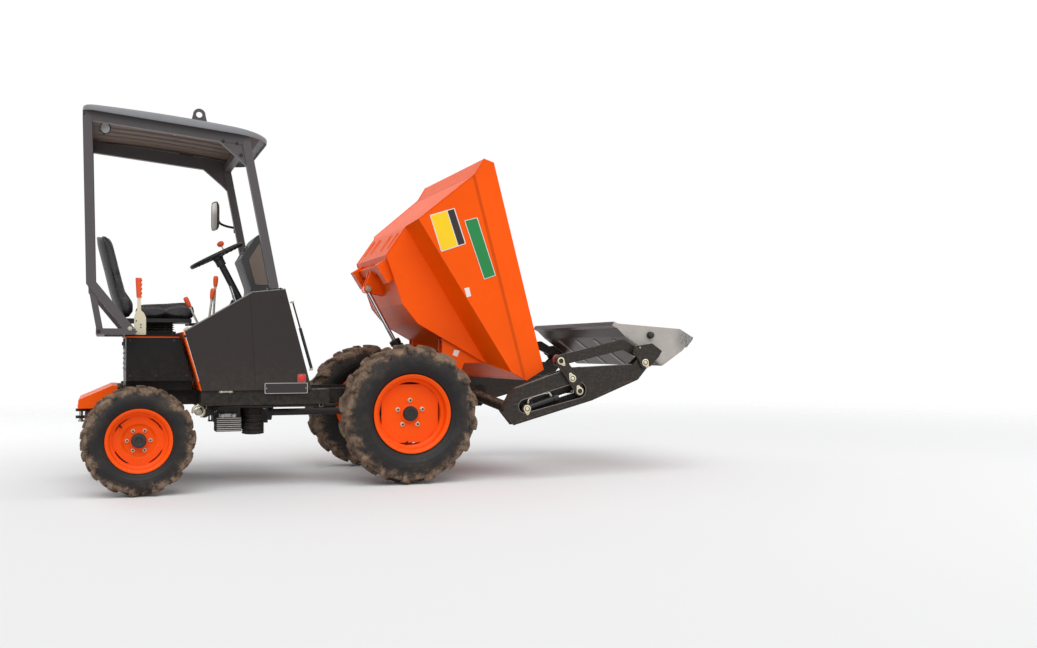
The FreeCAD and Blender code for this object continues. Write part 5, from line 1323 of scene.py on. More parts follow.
def box_block(low, high, soft=0.003):
    """A block between two corners whose upright edges are rounded: an outline raised in z."""
    (x0, y0, z0), (x1, y1, z1) = low, high
    outline = rounded([(x0, y0), (x1, y0), (x1, y1), (x0, y1)], soft, 4)
    rings = [np.column_stack([outline, np.full(len(outline), z)]) for z in (z0, z1)]
    return skin(np.array(rings), close_columns=True, caps=True)


def printed(name, colour):
    return painted(name, colour, 0.34, 0.10, 0.10, ripple=0.00002)


plate_yellow, plate_black = printed("plate_yellow", srgb(252, 208, 8)), printed("plate_black", srgb(34, 26, 28))
plate_green, plate_white = printed("plate_green", srgb(6, 130, 62)), printed("plate_white", srgb(232, 226, 220))
plate_edge = printed("plate_edge", srgb(176, 172, 168))
# painted highlight: the panel's folded top edge is coloured far lighter than the dark panel, standing in for the light
# the fold catches
fold_highlight_grey = painted("fold_highlight_grey", srgb(124, 120, 116), 0.4, 0.2, 0.4)
folds_right = [strip([(-1.3665, 0.9560), (-0.9735, 1.1965)], 0.0075, -0.5775, -0.5600),
               strip([(-0.9720, 1.1965), (-0.7745, 1.2182)], 0.0060, -0.5770, -0.5600)]
folds_left = [strip([(-0.9995, 1.1300), (-0.9725, 1.1960)], 0.0070, 0.5600, 0.5775),
              strip([(-0.9720, 1.1965), (-0.7745, 1.2182)], 0.0060, 0.5600, 0.5770)]
piece("panel_folds", folds_right + folds_left, fold_highlight_grey, "chassis", bevel=0.001, sharp=40)
joints = [strip([(-0.9880, 1.1900), (-0.9700, 0.9000), (-0.9500, 0.6020)], 0.0026, -0.5756, -0.5735),
          strip([(-0.8800, 1.2020), (-0.8200, 0.9000), (-0.7800, 0.6020)], 0.0026, 0.5735, 0.5756)]
piece("panel_joints", joints, frame_black, "chassis", sharp=40)
screws = []
for x, z in ((-1.235, 0.640), (-1.330, 0.915), (-1.150, 1.045), (-0.800, 1.170), (-0.665, 0.720), (-0.930, 1.165)):
    screws += hexagon((x, -0.5745, z), (0, -1, 0), 0.011, 0.0045, 1.5)
for x, z in ((-0.900, 0.640), (-0.665, 0.640), (-0.930, 1.120), (-0.800, 1.170), (-0.700, 0.900)):
    screws += hexagon((x, 0.5745, z), (0, 1, 0), 0.011, 0.0045, 1.5)
for x, z in ((-1.2735, 0.650), (-1.364, 0.925)):
    screws += hexagon((x, -0.5685, z), (0, -1, 0), 0.011, 0.0050, 1.4)
piece("panel_screws", screws, black_bolt, "chassis", sharp=30)

name_outline = rounded([(-0.898, 0.5775), (-0.637, 0.5775), (-0.637, 0.6430), (-0.898, 0.6430)], 0.007, 4)
inner_outline = rounded([(-0.8935, 0.5815), (-0.6415, 0.5815), (-0.6415, 0.6390), (-0.8935, 0.6390)], 0.005, 4)
for side, mark in ((-1, "right"), (1, "left")):
    piece("name_plate_" + mark, [plate(name_outline, side * 0.5752, side * 0.5766, upright)], plate_edge, "chassis", sharp=40)
    piece("name_plate_face_" + mark, [plate(inner_outline, side * 0.5762, side * 0.5773, upright)], plate_black, "chassis",
          sharp=40)
rivets = [lathe([(0, 0.0034), (0.0012, 0.0030), (0.0018, 0.0012)], (x, side * 0.5771, 0.6102), (0, side, 0), 14)
          for side in (-1, 1) for x in (-0.887, -0.648)]
piece("name_plate_rivets", rivets, zinc, "chassis", sharp=40)
holders, reflectors = [], []
for side in (-1, 1):
    square = rounded([(-0.701, 0.6445), (-0.648, 0.6445), (-0.648, 0.6975), (-0.701, 0.6975)], 0.012, 5)
    holders.append(plate(square, side * 0.5748, side * 0.5795, upright))
    reflectors.append(lathe([(0, 0.0215), (0.0030, 0.0212), (0.0052, 0.0180), (0.0064, 0.0090), (0.0066, 0.0015)],
                            (-0.6745, side * 0.5790, 0.6710), (0, side, 0), 40))
piece("reflector_holders", holders, printed("reflector_edge", srgb(158, 82, 78)), "chassis", bevel=0.001, sharp=40)
piece("reflectors", reflectors, reflector_red, "chassis", sharp=50)
print(len(screws) // 2, "panel screws")

# %% [markdown]
# A pair of gas struts props the cowl's front wall, a thin orange line runs along the top of the
# seat box, and the box gets louvres on its left and its back for the engine's air. A louvre is a
# low hood: its height is a sine along its length times a ramp across it.

# %% Seat box and cowl
struts, strut_ends = [], []
for side in (-1, 1):
    low_end, high_end = np.array([-0.6060, side * 0.5350, 0.7250]), np.array([-0.7250, side * 0.5350, 1.1420])
    way = unit(high_end - low_end)
    struts.append(carried([low_end, low_end + way * 0.265], 0.0095, 18))
    struts.append(carried([low_end + way * 0.26, high_end], 0.0050, 14))
    for place in (low_end, high_end):
        strut_ends.append(lathe([(-0.010, 0.0085), (0.008, 0.0085), (0.0095, 0.006)], place, (0, side, 0), 18))
        strut_ends.append(carried([place, place + np.array([-0.016, 0, -0.004])], 0.0055, 12))
piece("cowl_struts", struts, black_bolt, "chassis", sharp=40)
piece("cowl_strut_ends", strut_ends, zinc, "chassis", sharp=40)
edging = [strip([(-1.6885, 0.9215), (-1.3895, 0.9215)], 0.0070, side * 0.4795, side * 0.4825) for side in (-1, 1)]
edging.append(box_block((-1.6935, -0.470, 0.9180), (-1.6905, 0.470, 0.9250), 0.001))
piece("seat_box_edging", edging, orange_gloss, "chassis", sharp=40)


def louvre(middle, along, out, long=0.150, tall=0.020, proud=0.009):
    """A pressed hood; its lower side is the steep one."""
    u = np.linspace(-1, 1, 25)[:, None]
    v = np.linspace(0, 1, 11)[None, :]
    swell = np.clip(1 - np.abs(u) ** 6, 0, 1) * np.sin(math.pi * v ** 1.8) ** 0.7 * proud - 0.0004
    middle, along, out = np.array(middle), np.array(along, float), np.array(out, float)
    up = np.array([0, 0, 1.0])
    grid = middle + u[..., None] * along * long / 2 + (0.5 - v[..., None]) * up * tall + swell[..., None] * out
    return skin(grid)


louvres = [louvre((-1.545, 0.480, 0.730 + 0.032 * k), (1, 0, 0), (0, 1, 0), 0.19) for k in range(5)]
louvres += [louvre((-1.690, y, 0.730 + 0.032 * k), (0, 1, 0), (-1, 0, 0), 0.20) for k in range(5) for y in (-0.20, 0.20)]
piece("seat_box_louvres", louvres, box_black, "chassis", sharp=60)
box_bolts = []
for x, z in ((-1.668, 0.900), (-1.668, 0.690), (-1.420, 0.900), (-1.345, 0.690), (-1.520, 0.690)):
    box_bolts += hexagon((x, -0.4795, z), (0, -1, 0), 0.012, 0.006, 1.4)
    box_bolts += hexagon((x, 0.4795, z), (0, 1, 0), 0.012, 0.006, 1.4)
box_bolts += hexagon((-1.425, -0.455, 0.934), (0, 0, 1), 0.014, 0.016, 1.7)
box_bolts += hexagon((-1.425, 0.455, 0.934), (0, 0, 1), 0.014, 0.016, 1.7)
latch = [box_block((-1.7000, -0.030, 0.860), (-1.6890, 0.030, 0.916), 0.003),
         lathe([(0, 0.012), (0.006, 0.012), (0.008, 0.009)], (-1.6995, 0, 0.884), (-1, 0, 0), 24)]
piece("seat_box_bolts", box_bolts, black_bolt, "chassis", sharp=30)
piece("seat_box_latch", latch, black_plastic, "chassis", bevel=0.001, sharp=40)
catch = [plate(rounded([(-1.372, 0.953), (-1.346, 0.953), (-1.336, 0.975), (-1.352, 0.985), (-1.372, 0.970)], 0.005, 4),
               -0.560, -0.545, upright),
         lathe([(0, 0.0095), (0.022, 0.0095)], (-1.352, -0.564, 0.972), (0, 1, 0), 20)]
piece("panel_catch", catch, cream, "chassis", bevel=0.001, sharp=40)
print(len(louvres), "louvres")

# %% [markdown]
# Below the right sill hang a finned cooler of cast aluminium, the ribbed filter canister, and a
# quick coupling in a pale hook. The hoses between them are stiff, clipped to the frame and closed
# at both ends by fittings, so nothing hangs loose.

# %% Hydraulics below the sill
alloy = plated("alloy", srgb(176, 174, 168), 0.42)
fins = [box_block((-1.161, -0.3895 - 0.0105 * (k % 2), 0.3440 + 0.0125 * k), (-1.015, -0.3700, 0.3505 + 0.0125 * k), 0.002)
        for k in range(7)]
fins.append(box_block((-1.150, -0.400, 0.430), (-1.045, -0.330, 0.452), 0.006))
fins += [lathe([(0, 0.013), (0.030, 0.013), (0.032, 0.010)], (x, -0.395, 0.441), (0, -1, 0), 24) for x in (-1.130, -1.062)]
piece("cooler_fins", fins, alloy, "chassis", bevel=0.0008, sharp=40)

canister_line = [(0.3140, 0.030), (0.3160, 0.050), (0.3200, 0.0665)]
for k in range(13):
    canister_line += [(0.3240 + 0.0125 * k, 0.0685), (0.3275 + 0.0125 * k, 0.0685), (0.3300 + 0.0125 * k, 0.0655),
                      (0.3340 + 0.0125 * k, 0.0655)]
canister_line += [(0.4900, 0.0665), (0.4920, 0.040)]
canister = lathe(canister_line, (-0.932, -0.300, 0.0), (0, 0, 1), 56)
piece("filter_canister", [canister], frame_black, "chassis", sharp=40)

hook_turn = np.radians(np.linspace(-70, 200, 40))
hook_path = np.stack([-1.270 + 0.034 * np.cos(hook_turn), np.full(40, -0.392), 0.470 + 0.034 * np.sin(hook_turn)], 1)
hook = [carried(hook_path, np.linspace(0.0095, 0.0075, 40), 14), carried([(-1.282, -0.392, 0.500), (-1.262, -0.392, 0.5095)], 0.011, 12)]
piece("coupling_hook", hook, zinc_cream, "chassis", sharp=50)
ring_line = [(0.0, 0.0140), (0.0005, 0.0225), (0.0080, 0.0225), (0.0100, 0.0200), (0.0100, 0.0150), (0.0050, 0.0140)]
coupling = [lathe(ring_line, (-1.272, -0.386, 0.466), (0, -1, 0), 36), lathe([(0, 0.0140), (0.007, 0.0120)], (-1.272, -0.386, 0.466), (0, -1, 0), 24)]
piece("coupling_ring", coupling, zinc, "chassis", sharp=40)


def hose(points, radius=0.0085, count=120):
    """A stiff hose: its path is smoothed through the points; each end gets a collar and a nut."""
    path = smooth_line(points, count)
    ends = []
    for end, before in ((path[0], path[4]), (path[-1], path[-5])):
        way = unit(before - end)
        ends.append(lathe([(-0.004, radius * 1.15), (-0.002, radius * 1.35), (0.020, radius * 1.35), (0.022, radius * 1.12)],
                          end, way, 20))
        ends.append(lathe([(-0.016, radius * 1.25), (-0.003, radius * 1.25)], end, way, 6))
        ends.append(lathe([(-0.028, radius * 0.7), (-0.012, radius * 0.7)], end, way, 16))
    return carried(path, radius, 12), ends


runs = [[(-1.160, -0.352, 0.462), (-1.180, -0.390, 0.486), (-1.120, -0.440, 0.4975), (-0.900, -0.445, 0.4975), (-0.560, -0.445, 0.4965),
         (-0.340, -0.400, 0.4975), (-0.180, -0.322, 0.4975), (0.000, -0.312, 0.4970), (0.075, -0.300, 0.4800), (0.088, -0.290, 0.4700)],
        [(-0.870, -0.330, 0.480), (-0.845, -0.390, 0.492), (-0.760, -0.424, 0.4975), (-0.560, -0.424, 0.4965), (-0.360, -0.376, 0.4975),
         (-0.190, -0.298, 0.4975), (0.000, -0.288, 0.4970), (0.070, -0.262, 0.4800), (0.088, -0.250, 0.4700)],
        [(-1.160, 0.060, 0.470), (-1.185, 0.200, 0.490), (-1.120, 0.424, 0.4975), (-0.900, 0.440, 0.4975), (-0.560, 0.440, 0.4965),
         (-0.340, 0.400, 0.4975), (-0.180, 0.322, 0.4975), (0.000, 0.312, 0.4970), (0.075, 0.300, 0.4800), (0.088, 0.290, 0.4700)]]
tubes, fittings = [], []
for run in runs:
    line, ends = hose(run)
    tubes.append(line)
    fittings += ends
clips = []
for side in (-1, 1):
    for x in (-1.240, -0.530):
        clips.append(strip([(x - 0.012, 0.5095), (x - 0.010, 0.4870), (x + 0.010, 0.4870), (x + 0.012, 0.5095)], 0.0022,
                           side * 0.412, side * 0.458))
piece("hydraulic_hoses", tubes, rubber_black, "chassis", sharp=60)
piece("hose_fittings", fittings, zinc, "chassis", sharp=30)
piece("hose_clips", clips, zinc, "chassis", sharp=30)
sill_slot = [box_block((-1.165, -0.5625, 0.588), (-1.085, -0.5595, 0.5975), 0.001)]
sill_slot += [lathe([(0, 0.008), (0.014, 0.008), (0.016, 0.005)], (x, -0.555, 0.5925), (0, -1, 0), 18) for x in (-1.150, -1.100)]
piece("sill_catch", sill_slot, zinc, "chassis", sharp=40)
print(len(tubes), "hoses and", len(clips), "clips")

# %% [markdown]
# The driver's footwell has a mat with round studs and two pedals on arms. At the tail there are
# two lamps with dark red lenses, and the tow jaw carries its pin and a spring clip.

# %% Footwell, lamps and tow pin
mat_x, mat_y = np.meshgrid(np.linspace(-1.235, -0.700, 200), np.linspace(-0.225, 0.480, 260), indexing="ij")
stud = np.cos(mat_x / 0.030 * 2 * math.pi) * np.cos(mat_y / 0.030 * 2 * math.pi)
mat_z = 0.6085 + 0.0022 * np.clip((stud - 0.15) / 0.35, 0, 1)
piece("floor_mat", [skin(np.stack([mat_x, mat_y, mat_z], -1))], rubber_black, "chassis", sharp=60)
pedals = []
for y, wide in ((-0.115, 0.030), (0.120, 0.036)):
    pad = rounded([(-0.070, -wide), (0.070, -wide), (0.070, wide), (-0.070, wide)], 0.012, 5)
    up, across = unit([0.62, 0, 0.78]), np.array([0, 1.0, 0])
    out = np.array([-up[2], 0, up[0]])
    middle = np.array([-0.815, y, 0.715])
    faces = [middle + pad[:, 0:1] * up + pad[:, 1:2] * across + out * d for d in (0.0, 0.006)]
    pedals.append(skin(np.array(faces), close_columns=True, caps=True))
    for k in range(-3, 4):
        tread = [middle + up * 0.018 * k + across * s * (wide - 0.006) + out * 0.0065 for s in (-1, 1)]
        pedals.append(carried(tread, 0.0024, 8))
    pedals.append(carried(smooth_line([middle, middle + [0.035, 0, -0.030], (-0.745, y, 0.650), (-0.715, y, 0.6085)], 20), 0.0075, 12))
piece("pedals", pedals, rubber_black, "chassis", sharp=50)
LAMP_BACK = -1.880 - 0.034
lenses, bezels = [], []
for side in (-1, 1):
    y = side * 0.250
    outline = rounded([(y - 0.044, 0.426), (y + 0.044, 0.426), (y + 0.044, 0.474), (y - 0.044, 0.474)], 0.009, 5)
    depths = [(-0.000, 1.0), (-0.0018, 0.98), (-0.0030, 0.90)]
    centre = outline.mean(0)
    rings = [np.column_stack([np.full(len(outline), LAMP_BACK + d), centre + (outline - centre) * s]) for d, s in depths]
    lenses.append(skin(np.array(rings), close_columns=True, caps=True))
    rim_out = rounded([(y - 0.0505, 0.4195), (y + 0.0505, 0.4195), (y + 0.0505, 0.4805), (y - 0.0505, 0.4805)], 0.010, 5)
    rings = [np.column_stack([np.full(len(rim_out), LAMP_BACK + d), rim_out]) for d in (0.0335, 0.0008)]
    bezels.append(skin(np.array(rings), close_columns=True, caps=True))
piece("tail_lamp_cases", bezels, black_plastic, "chassis", ["tail_lamps"], bevel=0.002, sharp=40)
piece("tail_lamp_lenses", lenses, lamp_red, "chassis", sharp=50)
tow_x = -1.880 - 0.0003 - 0.062
tow = [lathe([(0.408, 0.0115), (0.508, 0.0115), (0.5095, 0.010)], (tow_x, 0, 0), (0, 0, 1), 28),
       lathe([(0.398, 0.0175), (0.4085, 0.0175)], (tow_x, 0, 0), (0, 0, 1), 28),
       carried([(tow_x - 0.024, 0, 0.5005), (tow_x + 0.024, 0, 0.5005)], 0.0022, 10)]
piece("tow_pin", tow, zinc, "chassis", sharp=40)
print("footwell, lamps and tow pin")

# %% [markdown]
# Everything on the skip is worked out with the skip lying level, then swung by 58 degrees about its
# hinge, which is how the machine stands. A weld bead is a thin round section carried along a seam,
# and its radius swells and shrinks every few millimetres, as the welder's hand moved on.

# %% Skip seams
HINGE_X, HINGE_Z, TIP_TURN = 0.370, 0.680, math.radians(58)


def tipped(points):
    """Level skip coordinates to the tipped skip: a turn about the hinge, nose down."""
    points = np.asarray(points, float)
    x, z = points[..., 0] - HINGE_X, points[..., 2] - HINGE_Z
    c, s = math.cos(TIP_TURN), math.sin(TIP_TURN)
    return np.stack([HINGE_X + x * c + z * s, points[..., 1], HINGE_Z - x * s + z * c], -1)


def weld(corners, radius=0.0035, pitch=0.006):
    """A bead through the corners: radius times (1 + 0.18 sine), one swell each pitch."""
    corners = np.array(corners, float)
    runs = np.linalg.norm(np.diff(corners, axis=0), axis=1)
    along = np.concatenate([[0], np.cumsum(runs)])
    even = np.linspace(0, along[-1], int(along[-1] / pitch * 3))
    path = np.stack([np.interp(even, along, corners[:, k]) for k in range(3)], 1)
    swell = radius * (1 + 0.18 * np.sin(2 * math.pi * even / pitch))
    return carried(path, swell, 6)


FOLD_LOW, FOLD_HIGH = 0.896, 0.951
slope_run = (0.613 + 0.057) / (1.004 - 0.635)
front_low, front_high = -0.057 + slope_run * (FOLD_LOW - 0.635), -0.057 + slope_run * (FOLD_HIGH - 0.635)
rear_high = -0.637 - 0.073 * (FOLD_HIGH - FOLD_LOW) / 0.513
beads = []
for side in (-1, 1):
    tub = [(-0.547, side * 0.436, 0.688), (-0.217, side * 0.436, 0.614), (-0.057, side * 0.436, 0.635),
           (front_low, side * 0.436, FOLD_LOW)]
    beads.append(weld(tipped(tub)))
    beads.append(weld(tipped([(-0.547, side * 0.436, 0.688), (-0.637, side * 0.436, FOLD_LOW),
                              (rear_high, side * 0.607, FOLD_HIGH), (-0.710, side * 0.685, 1.409),
                              (-0.764, side * 0.685, 1.514)])))
    beads.append(weld(tipped([(front_low, side * 0.436, FOLD_LOW), (front_high, side * 0.665, FOLD_HIGH),
                              (0.613, side * 0.685, 1.004)])))
piece("skip_welds", beads, orange_gloss, "skip", sharp=60)


def bend(start, end, radius=0.007):
    """A rounded fold: a long round bar sunk into the edge, so that the fold catches a soft light."""
    share = np.linspace(0, 1, 12)[:, None]
    return carried(np.array(start) * (1 - share) + np.array(end) * share, radius, 14)


folds = []
for side in (-1, 1):
    sink = side * 0.0062
    folds.append(bend(*tipped([(-0.708, side * 0.685 - sink, 1.409), (0.607, side * 0.685 - sink, 1.006)])))
    folds.append(bend(*tipped([(rear_high + 0.004, side * 0.6075 - sink, FOLD_HIGH + 0.002), (front_high - 0.006, side * 0.6655 - sink, FOLD_HIGH + 0.002)])))
piece("skip_folds", folds, orange_gloss, "skip", sharp=60)


def rim_bar(side):
    """The rolled top edge: a half-round bar along the rim, from the front corner to the rear one."""
    line = tipped([(0.611, side * 0.6808, 1.1405), (-0.709, side * 0.6808, 1.5550)])
    return bend(*line, radius=0.0050)


piece("skip_rim_edges", [rim_bar(-1), rim_bar(1)], orange_gloss, "skip", sharp=60)
print(len(beads), "weld beads and", len(folds), "folds")

# %% [markdown]
# Two plates are stuck to each side of the skip. They stay blank: one is yellow with a black band
# and a pale edge, the other is green with a pale edge, and a small white tag sits lower down. Each
# is a thin quad between four corners, with its corners rounded, lifted off the sheet by a millimetre.

# %% Blank plates on the skip
def sticker(corners, lift, inset=0.0, low=(0.0, 1.0), round_off=0.04, thick=0.0006):
    """A quad between four corners: places on it are blended from the corners (bilinear), the outline
    is a rectangle with rounded corners in those shares, and the normal lifts it off the sheet."""
    a, b, c, d = np.array(corners, float)
    normal = unit(np.cross(b - a, d - a))
    normal = normal if normal[1] * a[1] > 0 else -normal
    wide, tall = np.linalg.norm(b - a), np.linalg.norm(d - a)
    u0, u1, v0, v1 = low[0] + inset / wide, low[1] - inset / wide, inset / tall, 1 - inset / tall
    shares = rounded([(u0, v0), (u1, v0), (u1, v1), (u0, v1)], round_off, 4)
    u, v = shares[:, 0:1], shares[:, 1:2]
    spots = a * (1 - u) * (1 - v) + b * u * (1 - v) + c * u * v + d * (1 - u) * v
    return skin(np.stack([spots + normal * lift, spots + normal * (lift + thick)]), close_columns=True, caps=True)


YELLOW_CORNERS = [(0.1289, 0.6205, 1.7094), (0.2858, 0.6508, 1.7589), (0.3634, 0.6527, 1.5295),
                  (0.2054, 0.6219, 1.4743)]
GREEN_CORNERS = [(0.3496, 0.6580, 1.6791), (0.4327, 0.6739, 1.7015), (0.5586, 0.6785, 1.3282),
                 (0.4840, 0.6628, 1.3003)]
TAG_CORNERS = [(0.3566, 0.6367, 1.2428), (0.3878, 0.6426, 1.2498), (0.4023, 0.6422, 1.1933), (0.3749, 0.6369, 1.1842)]
layers = {"white": [], "yellow": [], "black": [], "green": []}
for side in (-1, 1):
    yellow, green, tag = ([(x, side * abs(y), z) for x, y, z in corners]
                          for corners in (YELLOW_CORNERS, GREEN_CORNERS, TAG_CORNERS))
    layers["white"] += [sticker(yellow, 0.0012), sticker(green, 0.0012, round_off=0.03), sticker(tag, 0.0012)]
    layers["yellow"].append(sticker(yellow, 0.0019, 0.006, (0.0, 0.71), 0.02))
    layers["black"].append(sticker(yellow, 0.0019, 0.006, (0.67, 1.0), 0.02))
    layers["green"].append(sticker(green, 0.0019, 0.0045, round_off=0.02))
    low_tag = [(x, side * 0.4162, z) for x, z in ((0.361, 0.847), (0.398, 0.838), (0.380, 0.799), (0.348, 0.811))]
    layers["white"].append(sticker(low_tag, 0.0006))
for word, finish in (("white", plate_white), ("yellow", plate_yellow), ("black", plate_black), ("green", plate_green)):
    piece("skip_plates_" + word, layers[word], finish, "skip", sharp=40)
print("blank plates on both sides of the skip")

# %% [markdown]
# Below the skip, the ram's bracket has two side blocks with a bolt through each cheek, long
# pressings stiffen the tub's sloping rear, and the hinge ears carry their pins' cover caps.

# %% Below the skip
EYE = np.array([-0.137, 0, 1.261])
pins, pressings = [], []
for side in (-1, 1):
    pins.append(lathe([(0, 0.0205), (0.005, 0.0205), (0.0065, 0.019)], EYE + [0, side * 0.0505, 0], (0, side, 0), 32))
    pins += hexagon(EYE + np.array([0, side * 0.0565, 0]), (0, side, 0), 0.018, 0.008, 1.0)
for y in (-0.335, -0.150, 0.150, 0.335):
    run = np.linspace(0, 1, 40)[:, None]
    across = np.linspace(-1, 1, 13)[None, :]
    start, end = np.array([-0.5660, 0.7360]), np.array([-0.6250, 0.8640])
    place = start * (1 - run) + end * run
    fade = np.sin(np.clip(np.minimum(run, 1 - run) / 0.12, 0, 1) * math.pi / 2)
    rise = 0.008 * (0.5 + 0.5 * np.cos(across * math.pi)) ** 0.7 * fade
    grid = np.stack(np.broadcast_arrays(place[:, 0:1] - rise * 0.908, y + across * 0.020, place[:, 1:2] - rise * 0.418), -1)
    pressings.append(skin(tipped(grid)))
piece("skip_ram_pin", pins, zinc, "skip", sharp=30)
piece("skip_pressings", pressings, orange_gloss, "skip", sharp=60)
ear_caps = []
for side in (-1, 1):
    hinge = np.array([HINGE_X, side * 0.4165, HINGE_Z])
    ear_caps.append(lathe([(0, 0.0225), (0.006, 0.0225), (0.0085, 0.020), (0.0085, 0.003)], hinge, (0, side, 0), 36))
    ear_caps += hexagon(hinge + np.array([0, side * 0.008, 0]), (0, side, 0), 0.017, 0.007, 1.1)
piece("skip_hinge_caps", ear_caps, black_bolt, "skip", sharp=30)
print(len(pressings), "pressings")

# %% [markdown]
# Each pin of the loading arms is kept by a pale drop-shaped plate: a circle of 24 mm whose outline
# is pulled out to a tail on one side, where a bolt holds it. The dark ring in the middle is the end
# of the pin, cut through by the keeper's edge.

# %% Pins and keeper plates
def keeper(x, y, z, tail, side):
    """The drop outline: radius = 24 mm plus a narrow bump of 20 mm towards the tail. Returns the
    plate's parts, the dark ring's and the bolt's."""
    turn = np.linspace(0, 2 * math.pi, 72, endpoint=False)
    away = (np.degrees(turn) - tail + 180) % 360 - 180
    reach = 0.0240 + 0.0175 * np.exp(-(away / 24) ** 2)
    outline = np.stack([x + reach * np.cos(turn), z + reach * np.sin(turn)], 1)
    slim = np.stack([x + (reach - 0.002) * np.cos(turn), z + (reach - 0.002) * np.sin(turn)], 1)
    rings = [upright(o, np.full(72, side * d)) for o, d in ((outline, y), (outline, y + 0.0020), (slim, y + 0.0028))]
    face = y + 0.0028
    bolt_at = (x + 0.0300 * math.cos(math.radians(tail)), side * (face - 0.0005), z + 0.0300 * math.sin(math.radians(tail)))
    out = (0, side, 0)
    plate_part = skin(np.array(rings), close_columns=True, caps=True)
    ring = lathe([(-0.001, 0.0166), (0.0010, 0.0166), (0.0015, 0.0156), (0.0015, 0.0128), (-0.001, 0.0122)],
                 (x, side * face, z), out, 36)
    stud = lathe([(-0.001, 0.0095), (0.0014, 0.0095), (0.0020, 0.0080)], (x, side * face, z), out, 24)
    return [plate_part, stud], [ring], hexagon(bolt_at, out, 0.0095, 0.0025, 1.15)


# body, x, z, where the plate starts, direction of the tail in degrees
keeper_places = (("levers", 0.969, 0.773, 0.7941, -50), ("levers", 1.103, 0.575, 0.7941, 115),
                 ("arms", 1.052, 0.658, 0.7941, 120), ("arms", 0.739, 0.465, 0.7768, -85),
                 ("shovel", 1.530, 0.834, 0.7941, 60), ("arms", 1.586, 0.760, 0.7941, -60))
by_body = {}
for body, x, z, y, tail in keeper_places:
    for side in (-1, 1):
        pale, dark, bolt = keeper(x, y, z, tail, side)
        sets = by_body.setdefault(body, ([], [], []))
        for kept, new in zip(sets, (pale, dark, bolt)):
            kept += new
for body, (pale, dark, bolt) in by_body.items():
    worn_plates = body == "shovel"
    piece(body + "_keepers", pale, arm_grey if worn_plates else zinc_cream, body, sharp=30)
    piece(body + "_pin_rings", dark, black_bolt, body, sharp=40)
    piece(body + "_keeper_bolts", bolt, zinc, body, sharp=30)
collars = [lathe([(0.757, 0.0300), (0.7760, 0.0300), (0.7772, 0.0288)], (0.739, 0, 0.465), (0, side, 0), 40) for side in (-1, 1)]
piece("ram_eye_collars", collars, axle_black, "arms", sharp=40)
plug_line = smooth_line([(0, 0.0300), (0.006, 0.0290), (0.010, 0.0200), (0.0115, 0.003)], 16)
plugs = [lathe(plug_line, (0.969 - 0.012, side * 0.7485, 0.773 + 0.012), (0, side, 0), 32) for side in (-1, 1)]
print(len(keeper_places) * 2, "keeper plates")

# %% [markdown]
# The arm's plates are welded round their edge. Their top edge and the slot's edge are pale: partly steel worn bare by
# the rubble, partly a painted highlight along the rounded edges. In the long slot a steel pipe runs above the ram to
# its far port, held by a block, and both of its ends are fittings.

# %% Arm trim
slot_edges, arm_welds, pipes, pipe_ends = [], [], [], []
# The pale edge colour is partly bare-steel wear and partly a painted highlight along the rounded slot and top edges.
bright = worn("edge_wear_and_highlight", srgb(120, 116, 112), 0.9, gloss=0.34)
for side in (-1, 1):
    start, end = np.array([0.724, 0.482]), np.array([1.103, 0.580])
    heading = math.atan2(*(end - start)[::-1])
    turn_far = heading + np.radians(np.linspace(-88, 88, 26))
    turn_near = heading + np.radians(np.linspace(92, 268, 26))
    loop = np.concatenate([end + 0.0525 * np.stack([np.cos(turn_far), np.sin(turn_far)], 1),
                           start + 0.0445 * np.stack([np.cos(turn_near), np.sin(turn_near)], 1)])
    loop = np.vstack([loop, loop[:1]])
    slot_edges.append(carried(upright(loop, np.full(len(loop), side * 0.7755)), 0.0024, 8))
    low_path = [(0.650, 0.3655), (0.900, 0.4345), (1.199, 0.5155), (1.400, 0.5945), (1.5365, 0.6495)]
    arm_welds.append(weld([(x, side * 0.7765, z + 0.010) for x, z in low_path], 0.0028, 0.007))
    top_path = [(0.574, 0.452), (0.6555, 0.5965), (0.920, 0.6845), (0.985, 0.7050)]
    arm_welds.append(weld([(x, side * 0.7765, z - 0.006) for x, z in top_path], 0.0028, 0.007))
    slot_edges.append(carried(upright(np.array([(0.6545, 0.5985), (0.920, 0.6865), (0.990, 0.7085)]), np.full(3, side * 0.7752)), 0.0022, 8))
    slot_edges.append(carried(upright(np.array([(1.120, 0.7310), (1.300, 0.7395), (1.490, 0.7480)]), np.full(3, side * 0.7752)), 0.0022, 8))
    pipe = smooth_line([(0.760, side * 0.738, 0.502), (0.762, side * 0.744, 0.526), (0.785, side * 0.747, 0.5395),
                        (0.880, side * 0.747, 0.5645), (0.905, side * 0.745, 0.565), (0.918, side * 0.741, 0.550)], 60)
    pipes.append(carried(pipe, 0.0062, 12))
    for place, way in ((pipe[0], pipe[2] - pipe[0]), (pipe[-1], pipe[-3] - pipe[-1])):
        pipe_ends.append(lathe([(-0.010, 0.0085), (0.010, 0.0085), (0.012, 0.007)], place, unit(way), 6))
    for spot in (0.34, 0.62):
        middle = pipe[int(len(pipe) * spot)]
        pipe_ends.append(lathe([(-0.007, 0.0092), (0.007, 0.0092)], middle, (0.964, 0, 0.266), 6))
piece("arm_bright_edges", slot_edges, bright, "arms", sharp=50)
piece("arm_welds", arm_welds, arm_grey, "arms", sharp=60)
piece("tilt_pipes", pipes, chrome, "tilt_barrels", sharp=50)
piece("tilt_pipe_fittings", pipe_ends, zinc_cream, "tilt_barrels", sharp=30)
piece("link_plugs", plugs, painted("red_plug", srgb(120, 42, 34), 0.45, 0.2, 0.2), "links", sharp=50)
print("arm trim ready")
